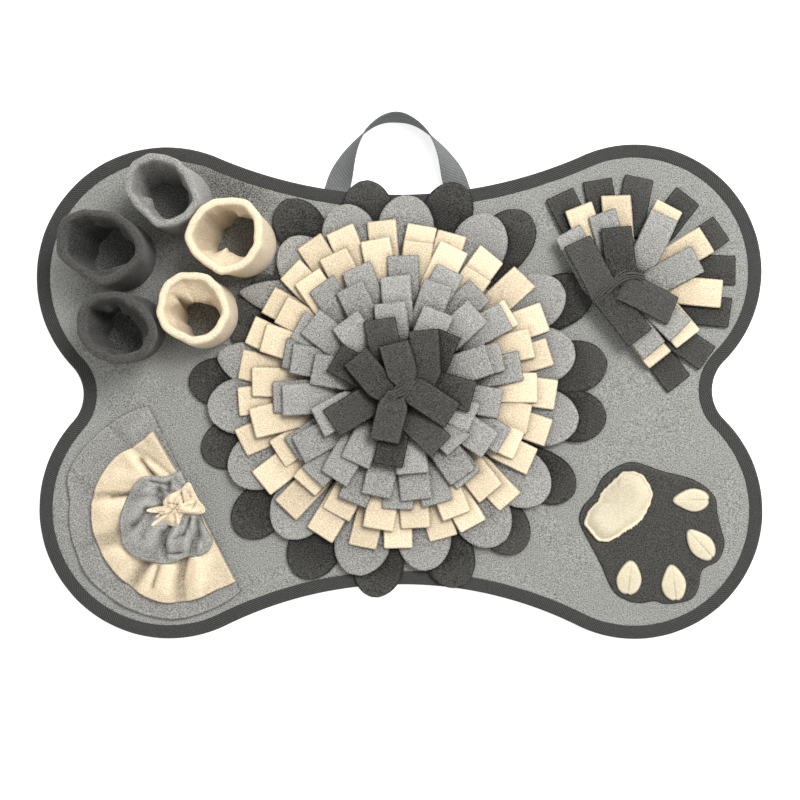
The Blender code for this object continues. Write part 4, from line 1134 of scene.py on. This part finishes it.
def rosette_base():
    """Flat half-round cloth whose edge is barely lifted."""
    degrees, t, radius, plan, inset = half_round(BASE_EDGE, BASE_HOLE, *BASE_GRID)
    creases = creased(plan, BASE_CREASES)
    height = SEAT + BASE_RISE + np.maximum(folded(BASE_FOLDS, degrees, t) + creases + 0.5, 0.0)
    skin = Skin()
    # dye: a painted shadow line and highlight at the edge, painted shade in the creases and painted
    # light on the ridges, 1.0 darker overall
    skin.slab(plan, height, BASE_THICK / 2, plan - ROSETTE_CENTRE,
              edge_dye(inset) + 1.5 * creases - 1.0)
    made = skin.piece("rosette_base_cloth", "light grey")
    reach = np.radians(BASE_EDGE[-1][0] - BASE_EDGE[0][0])
    area = float(np.mean(radius[-1] ** 2)) * reach / 2


def gathered_ruffle(ruffle):
    """Half-round cloth gathered at its inner end: each fold is a bell across the direction
    that grows towards the edge. A smooth limit keeps it from going far below its floor."""
    degrees, t, radius, plan, inset = half_round(ruffle.edge, ruffle.inner, *RUFFLE_GRID)
    rise = 0.55 * folded(ruffle.folds, degrees, t) + creased(plan, ruffle.creases)
    floor = ruffle.high + (ruffle.low - ruffle.high) * t
    rim = -3.0 * smoothstep((t - 0.8) / 0.2) * np.clip(rise / 5.0, 0.1, 1.0)
    above = rise + rim + 0.8 + 2.8 * (1 - t) + ruffle.puff * bump_at(t, 0.55, 0.33)
    height = floor - 0.8 + (above + np.sqrt(above**2 + 0.8)) / 2
    height = height + 0.25 * np.sin(degrees / 2.3 + 4 * t) * t
    ends = np.interp(t, (0.0, 0.03, 0.97, 1.0), (0.6, 1.0, 1.0, 0.5))
    # dye: the layer's tone, a painted shadow line and highlight at the edge, painted shade in
    # hollows and low places, and painted light on ridges and high places
    dye = (ruffle.tone + edge_dye(inset)
           + 2.0 * np.clip(hollows(height, 9), -4.5, 1.4) + 0.5 * np.clip(rise, -6, 3))
    skin = Skin()
    skin.slab(plan, height, ROSETTE_THICK / 2 * ends, plan - ROSETTE_CENTRE, dye)
    made = skin.piece(ruffle.name + "_cloth", ruffle.cloth, sharp=70.0)
    reach = np.radians(degrees[-1] - degrees[0])
    outer = float(np.mean(radius[-1]))
    area = 0.5 * reach * outer**2 * (1 - ruffle.inner**2) * RUFFLE_SLACK
    area * MM * MM


def rosette_bud():
    """Crumpled star of cloth: a disc stretched to its points, folded along them."""
    share, degrees, _, _ = disc(BUD_GRID)
    angle = np.radians(degrees)
    reach = edge_radius(BUD_EDGE, degrees)
    plan = polar(BUD_CENTRE, reach * share, degrees)
    folds = (reach - 18.0) / 12.0
    crumple = (1.1 * np.sin(5 * angle + 6 * share) + 0.9 * np.sin(3 * angle - 9 * share + 1.0)
               + 0.6 * np.sin(9 * angle + 4 * share))
    creases = creased(plan, BUD_CREASES)
    height = (BUD_HIGH + (BUD_LOW - BUD_HIGH) * share**1.5 - 1.6 * bump_at(share, 0.0, 0.3)
              + 2.2 * folds * share + 2.0 * crumple * share * (1.2 - share) + 1.3 * creases)
    half = BUD_THICK / 2 * (1 - 0.45 * smoothstep((share - 0.93) / 0.07))
    # dye: lighter towards the edge, painted shade in the creases and hollows, painted light on the
    # ridges, 2.0 darker overall
    dye = 1.5 * smoothstep((share - 0.8) / 0.2) + 2.4 * creases + 3.0 * np.clip(
        hollows(height, 5), -2.5, 0.8) - 2.0
    skin = Skin()
    skin.slab(plan, height, half, dye=dye)
    made = skin.piece("rosette_bud_cloth", "cream", sharp=60.0)


# ---------------------------------------------------------------- paw


def paw_patch():
    """Flat patch: a disc stretched to the smooth outline, thinner at its edge."""
    line = closed_curve(PAW_EDGE, PAW_STEPS) - PAW_CENTRE
    share, degrees, _, _ = disc(PATCH_GRID)
    radius = line_radius(line, degrees)
    plan = polar(PAW_CENTRE, share * radius, degrees)
    inset = (1 - share) * radius
    wave = 0.15 * np.sin(plan[..., 0] / 9) * np.sin(plan[..., 1] / 11)
    top = SEAT + 0.9 + (PAW_THICK - 0.95 + wave) * smoothstep(inset / 4.0)
    skin = Skin()
    # dye: a painted shadow line and highlight at the edge
    skin.between(plan, SEAT - 0.1, top, edge_dye(inset))
    made = skin.piece("paw_patch_cloth", "charcoal")
    float(area_inside(line)) * MM * MM


def paw_palm():
    """Filled pad with a turned-up rim: a low dome, dished in its middle and frayed on the
    side that faces the toes."""
    share, degrees, x, y = disc(PALM_GRID)
    angle = np.radians(degrees)
    reach = edge_radius(PALM_EDGE, degrees)
    fray = bump_at(apart(degrees, FRAYED_SIDE), 0.0, 30.0) * (
        0.6 * np.sin(47 * angle) + 0.5 * np.sin(71 * angle + 1.0) + 0.3 * np.sin(97 * angle))
    reach = reach + (fray + 0.4 * np.sin(23 * angle)) * smoothstep((share - 0.9) / 0.1)
    radius = share * reach
    inset = reach - radius
    dome = 1 - (1 - smoothstep(inset / 20.0)) ** 2
    dish = bump_at(np.hypot(x + 0.12, y - 0.12), 0.0, 0.55)
    rim = bump_at(inset, 1.4, 1.0)
    top = PAD_SEAT + PALM_SIDE + 1.5 * rim + (PALM_HEIGHT - 5.0) * dome - 4.2 * dish
    top = top + 0.35 * np.sin(4 * x + 1.0) * np.cos(5 * y) * dome
    # dye: a painted shadow line and highlight at the edge, a painted highlight on the rim, painted
    # shade in the dish, painted light towards the lower right and painted shade towards the upper
    # left, 0.5 darker overall
    dye = edge_dye(inset) + 0.9 * rim - 1.2 * dish + 1.3 * (x - y) - 0.5
    skin = Skin()
    skin.between(polar(PALM_CENTRE, radius, degrees), PAD_SEAT, top, dye)
    made = skin.piece("paw_pad_plush", "pale cream", "paw_pad")


def paw_toe(toe):
    """Leaf-shaped pad, pinched along its middle by a sewn crease."""
    share, degrees, x, y = disc(TOE_GRID)
    angle = np.radians(degrees)
    narrow = 1 - toe.point * smoothstep(np.cos(angle) * 0.7 + 0.3) ** 1.5
    notch = 1 - 0.07 * bump_at(apart(degrees, 180.0), 0.0, 9.0)
    wavy = 1 + 0.015 * np.cos(4 * angle + toe.x)
    long_way = way_of(toe.turn)
    plan = (np.array((toe.x, toe.y))
            + (toe.half_long * wavy * notch * x)[..., None] * long_way
            + (toe.half_wide * wavy * narrow * y)[..., None] * left_of(long_way))
    dome = (1 - share**2.4) ** 0.6
    line = bump_at(y * toe.half_wide, 0.0, 1.0)
    top = PAD_SEAT + TOE_SIDE + (TOE_HEIGHT - 1.6) * dome - 2.0 * line * dome * (1 - 0.6 * share**3)
    # dye: a painted shadow line and highlight at the edge, and painted shade in the sewn crease
    dye = edge_dye((1 - share) * toe.half_wide) - 2.2 * line * (1 - share**4)
    skin = Skin()
    skin.between(plan, PAD_SEAT, top, dye)
    made = skin.piece(toe.name + "_plush", "pale cream", toe.name)


# ---------------------------------------------------------------- finishes


MOST_CHANGE = 0.8  # share by which a colour can get brighter or darker
FIBRE_SHARE, CLOUD_SHARE, CLOUD_SIZE = 0.6, 0.12, 28  # beside the pebbles, size in pebbles
RIB_FIBRE = 0.0014
TWILL_PITCH, TWILL_SLANT = 0.0029, 1.1
BAR_PITCH, BAR_SLANT = 0.0034, 0.7


class Mark:
    """A node's output. Arithmetic on it adds Math nodes."""

    def __init__(self, finish, socket):
        self.finish, self.socket = finish, socket

    def math(self, operation, *others):
        """Math node on this output and others."""
        values = {str(number): value for number, value in enumerate((self, *others))}
        return self.finish.add("ShaderNodeMath", {"operation": operation}, values)

    def sibling(self, output):
        """Another output of the same node."""
        return Mark(self.finish, self.socket.node.outputs[output])

    def __add__(self, other):
        return self.math("ADD", other)

    def __sub__(self, other):
        return self.math("SUBTRACT", other)

    def __rsub__(self, other):
        return self.math("MULTIPLY_ADD", -1.0, other)

    def __mul__(self, other):
        return self.math("MULTIPLY", other)

    __radd__, __rmul__ = __add__, __mul__


class Finish:
    """Material under construction."""

    def __init__(self, name, roughness, sheen, shine=0.2):
        self.material = bpy.data.materials.new(name)
        self.material.use_nodes = True
        self.tree = self.material.node_tree
        self.shader = self.tree.nodes["Principled BSDF"]
        for socket, value in (("Roughness", roughness), ("Sheen Weight", sheen),
                              ("Sheen Roughness", 0.4), ("Specular IOR Level", shine)):
            self.shader.inputs[socket].default_value = value

    def add(self, kind, settings, values, output=0):
        """Adds a node: its type, its settings, then its sockets' values or links."""
        node = self.tree.nodes.new(kind)
        for key, value in settings.items():
            setattr(node, key, value)
        for key, value in values.items():
            self.set(node.inputs[int(key) if key.isdigit() else key], value)
        return Mark(self, node.outputs[output])

    def set(self, socket, value):
        """Links a node's output to a socket, or gives the socket a value."""
        if isinstance(value, Mark):
            self.tree.links.new(value.socket, socket)
        else:
            socket.default_value = value

    def place(self):
        """Place in the object."""
        return self.add("ShaderNodeTexCoord", {}, {}, "Object")

    def dye(self):
        """Each point's dye, as its Skin gives it: the cloth's own tone with painted shade and
        painted highlights.
        """
        return self.add("ShaderNodeAttribute", {"attribute_name": "dye"}, {}, "Fac")

    def noise(self, place, size, detail=0.0, roughness=0.5):
        """Noise whose spots are about a size across, in metres."""
        return self.add("ShaderNodeTexNoise", {}, {
            "Vector": place, "Scale": 1.0 / size, "Detail": detail, "Roughness": roughness})

    def tone(self, colour, change):
        """Base colour, brighter or darker by a share of itself: a mix of the darkest and the
        brightest, half of each where there is no change."""
        dark, bright = ((*(c * share for c in colour), 1.0)
                        for share in (1 - MOST_CHANGE, 1 + MOST_CHANGE))
        self.set(self.shader.inputs["Base Color"], self.add(
            "ShaderNodeMix", {"data_type": "RGBA", "clamp_factor": True},
            {"Factor": change * (0.5 / MOST_CHANGE) + 0.5, "6": dark, "7": bright}, 2))

    def relief(self, height, distance):
        """Bumps of a height in metres."""
        self.set(self.shader.inputs["Normal"], self.add("ShaderNodeBump", {}, {
            "Strength": 1.0, "Distance": distance, "Height": height}))


def fleece_finish(name, colour, grain, relief, dyeing):
    """Fleece: pebbles of nap, finer fibres in them, and each point's dye: its own tone with painted
    shade and painted highlights.
    """
    size = bpy.context.scene.snuffle_sizes.pebble
    made = Finish(name, 0.95, 0.2)
    place = made.place()
    pebble, fibre = made.noise(place, size), made.noise(place, size / 2.0)
    cloud = made.noise(place, size * CLOUD_SIZE, 2.0)
    nap = (pebble - 0.5) + (fibre - 0.5) * FIBRE_SHARE
    made.tone(colour, nap * grain + (cloud - 0.5) * CLOUD_SHARE + made.dye() * dyeing)
    made.relief(pebble * 0.7 + fibre * 0.3, relief)
    return made.material


def ribs_across(made, pitch, slant):
    """Wave along the laid-out cloth, slanted across it, and its own fine fibre."""
    laid = made.add("ShaderNodeUVMap", {"uv_map": "laid"}, {})
    along = made.add("ShaderNodeSeparateXYZ", {}, {"Vector": laid})
    wave = ((along + along.sibling(1) * slant) * (2 * math.pi / pitch)).math("SINE")
    return wave, made.noise(made.place(), RIB_FIBRE, 1.0, 0.6)


def twill_finish(name, colour):
    """Twill tape: slanting ribs across its laid-out length."""
    made = Finish(name, 0.85, 0.1)
    ribs, fibre = ribs_across(made, TWILL_PITCH, TWILL_SLANT)
    made.tone(colour, ribs * 0.42 + (fibre - 0.5) * 0.9 + made.dye())
    made.relief(ribs * 0.5 + fibre * 0.3, 0.0004)
    return made.material


def webbing_finish(name, colour):
    """Webbing: fine weft bars across its length."""
    made = Finish(name, 0.95, 0.0, shine=0.0)
    bars, fibre = ribs_across(made, BAR_PITCH, BAR_SLANT)
    made.tone(colour, bars * 0.15 + (fibre - 0.5) * 0.8)
    made.relief(bars * 0.5 + fibre * 0.3, 0.0002)
    return made.material


# Fleeces and plush: strength of the nap, height of the pebbles, and strength of the dye, with its
# painted shade and highlights
FLEECES = {
    "base grey": (1.5, 0.0013, 0.06),
    "light grey": (1.5, 0.0013, 0.06),
    "charcoal": (1.9, 0.0013, 0.11),
    "cream": (0.6, 0.0009, 0.06),
    "pale cream": (0.4, 0.0004, 0.06),
}


def finish_of(cloth):
    """Material of a cloth, made once."""
    name = cloth + " finish"
    found = bpy.data.materials.get(name)
    if found:
        return found
    colour = tuple(getattr(bpy.context.scene.snuffle_colours, cloth.replace(" ", "_")))
    if cloth == "binding":
        return twill_finish(name, colour)
    if cloth == "webbing":
        return webbing_finish(name, colour)
    return fleece_finish(name, colour, *FLEECES[cloth])


# ---------------------------------------------------------------- stage


def studio_floor():
    """Wide pale square just under the mat."""
    mesh = bpy.data.meshes.new("floor")
    corners = [(x * FLOOR_REACH, y * FLOOR_REACH, FLOOR_HEIGHT)
               for x, y in ((-1, -1), (1, -1), (1, 1), (-1, 1))]
    mesh.from_pydata(corners, [], [(0, 1, 2, 3)])
    paint = bpy.data.materials.new("studio floor")
    paint.use_nodes = True
    inputs = paint.node_tree.nodes["Principled BSDF"].inputs
    inputs["Base Color"].default_value = (0.95, 0.95, 0.95, 1.0)
    inputs["Roughness"].default_value = 0.9
    inputs["Emission Color"].default_value = (1.0, 1.0, 1.0, 1.0)
    inputs["Emission Strength"].default_value = 0.55
    mesh.materials.append(paint)
    placed("floor", mesh)


def studio_light():
    """Even white sky and one wide lamp, a little to the upper right."""
    light = bpy.context.scene.snuffle_light
    world = bpy.data.worlds.new("studio sky")
    world.use_nodes = True
    sky = world.node_tree.nodes["Background"]
    sky.inputs["Color"].default_value = (1.0, 1.0, 1.0, 1.0)
    sky.inputs["Strength"].default_value = light.sky
    bpy.context.scene.world = world
    lamp = bpy.data.lights.new("softbox", "AREA")
    lamp.shape = "SQUARE"
    lamp.size = LAMP_SIZE
    lamp.energy = light.lamp
    softbox = placed("softbox", lamp)
    softbox.location = LAMP_PLACE
    softbox.rotation_euler = [math.radians(turn) for turn in LAMP_TURN]


def studio_camera():
    """Camera that looks straight down, with +Y at the top of the picture."""
    lens = bpy.data.cameras.new("camera")
    lens.lens = CAMERA_LENS
    lens.sensor_width = 36.0
    camera = placed("camera", lens)
    camera.location = CAMERA_PLACE
    bpy.context.scene.camera = camera
    bpy.context.scene.view_settings.view_transform = "Standard"


# ---------------------------------------------------------------- operators and panel


class SNUFFLE_OT_panel(bpy.types.Operator):
    """Base panel and the twill tape round its edge"""

    bl_idname = "snuffle.panel"
    bl_label = "Panel and Binding"

    def execute(self, context):
        base_panel()
        edge_binding()
        return {"FINISHED"}


class SNUFFLE_OT_handle(bpy.types.Operator):
    """Webbing carry handle"""

    bl_idname = "snuffle.handle"
    bl_label = "Carry Handle"

    def execute(self, context):
        carry_handle()
        return {"FINISHED"}


class SNUFFLE_OT_flower(bpy.types.Operator):
    """Petals, fringe rings and crown of the flower"""

    bl_idname = "snuffle.flower"
    bl_label = "Flower"

    def execute(self, context):
        draw = np.random.default_rng(SEED)
        start, crown = np.array(FLOWER_CENTRE), np.array(CROWN_CENTRE)
        strands = [lay_strands(ring, start + (crown - start) * ring.centre, draw)
                   for ring in FLOWER]
        for i, ring in enumerate(FLOWER):
            seam = CROWN_SEAM if ring is FLOWER[-1] else None
            fringe(ring, strands[i], strands[i + 1:i + 3], seam=seam)
        return {"FINISHED"}


class SNUFFLE_OT_tuft(bpy.types.Operator):
    """Corner tuft of strips"""

    bl_idname = "snuffle.tuft"
    bl_label = "Corner Tuft"

    def execute(self, context):
        draw = np.random.default_rng(SEED + 1)
        strands = [lay_strands(ring, np.array(TUFT_CENTRE), draw) for ring in TUFT]
        for i, ring in enumerate(TUFT):
            seam = TUFT_SEAM if ring is TUFT[-1] else None
            fringe(ring, strands[i], strands[i + 1:], TUFT_SWEEP, seam)
        return {"FINISHED"}


class SNUFFLE_OT_cups(bpy.types.Operator):
    """Five fleece cups"""

    bl_idname = "snuffle.cups"
    bl_label = "Cups"

    def execute(self, context):
        for cup in CUPS:
            fleece_cup(cup)
        return {"FINISHED"}


class SNUFFLE_OT_rosette(bpy.types.Operator):
    """Half-round rosette of three layers and a bud"""

    bl_idname = "snuffle.rosette"
    bl_label = "Rosette"

    def execute(self, context):
        rosette_base()
        for ruffle in RUFFLES:
            gathered_ruffle(ruffle)
        rosette_bud()
        return {"FINISHED"}


class SNUFFLE_OT_paw(bpy.types.Operator):
    """Paw patch and its plush pads"""

    bl_idname = "snuffle.paw"
    bl_label = "Paw"

    def execute(self, context):
        paw_patch()
        paw_palm()
        for toe in TOES:
            paw_toe(toe)
        return {"FINISHED"}


class SNUFFLE_OT_stage(bpy.types.Operator):
    """Floor, studio light and camera"""

    bl_idname = "snuffle.stage"
    bl_label = "Stage"

    def execute(self, context):
        studio_floor()
        studio_light()
        studio_camera()
        return {"FINISHED"}


OPERATORS = (
    SNUFFLE_OT_panel,
    SNUFFLE_OT_handle,
    SNUFFLE_OT_flower,
    SNUFFLE_OT_tuft,
    SNUFFLE_OT_cups,
    SNUFFLE_OT_rosette,
    SNUFFLE_OT_paw,
    SNUFFLE_OT_stage,
)


class SNUFFLE_PT_panel(bpy.types.Panel):
    """Settings and pieces of the snuffle mat"""

    bl_idname = "SNUFFLE_PT_panel"
    bl_label = "Snuffle Mat"
    bl_space_type = "VIEW_3D"
    bl_region_type = "UI"
    bl_category = "Snuffle Mat"

    def draw(self, context):
        for group in ("snuffle_colours", "snuffle_sizes", "snuffle_light"):
            settings = getattr(context.scene, group)
            column = self.layout.column(align=True)
            for name in settings.__annotations__:
                column.prop(settings, name)
        for operator in OPERATORS:
            self.layout.operator(operator.bl_idname)


CLASSES = (SnuffleColours, SnuffleSizes, SnuffleLight, *OPERATORS, SNUFFLE_PT_panel)


def register():
    for found in CLASSES:
        bpy.utils.register_class(found)
    bpy.types.Scene.snuffle_colours = PointerProperty(type=SnuffleColours)
    bpy.types.Scene.snuffle_sizes = PointerProperty(type=SnuffleSizes)
    bpy.types.Scene.snuffle_light = PointerProperty(type=SnuffleLight)


def unregister():
    del bpy.types.Scene.snuffle_light
    del bpy.types.Scene.snuffle_sizes
    del bpy.types.Scene.snuffle_colours
    for found in reversed(CLASSES):
        bpy.utils.unregister_class(found)


def main():
    register()
    bpy.ops.snuffle.panel()
    bpy.ops.snuffle.handle()
    bpy.ops.snuffle.flower()
    bpy.ops.snuffle.tuft()
    bpy.ops.snuffle.cups()
    bpy.ops.snuffle.rosette()
    bpy.ops.snuffle.paw()
    bpy.ops.snuffle.stage()


if __name__ == "__main__":
    main()
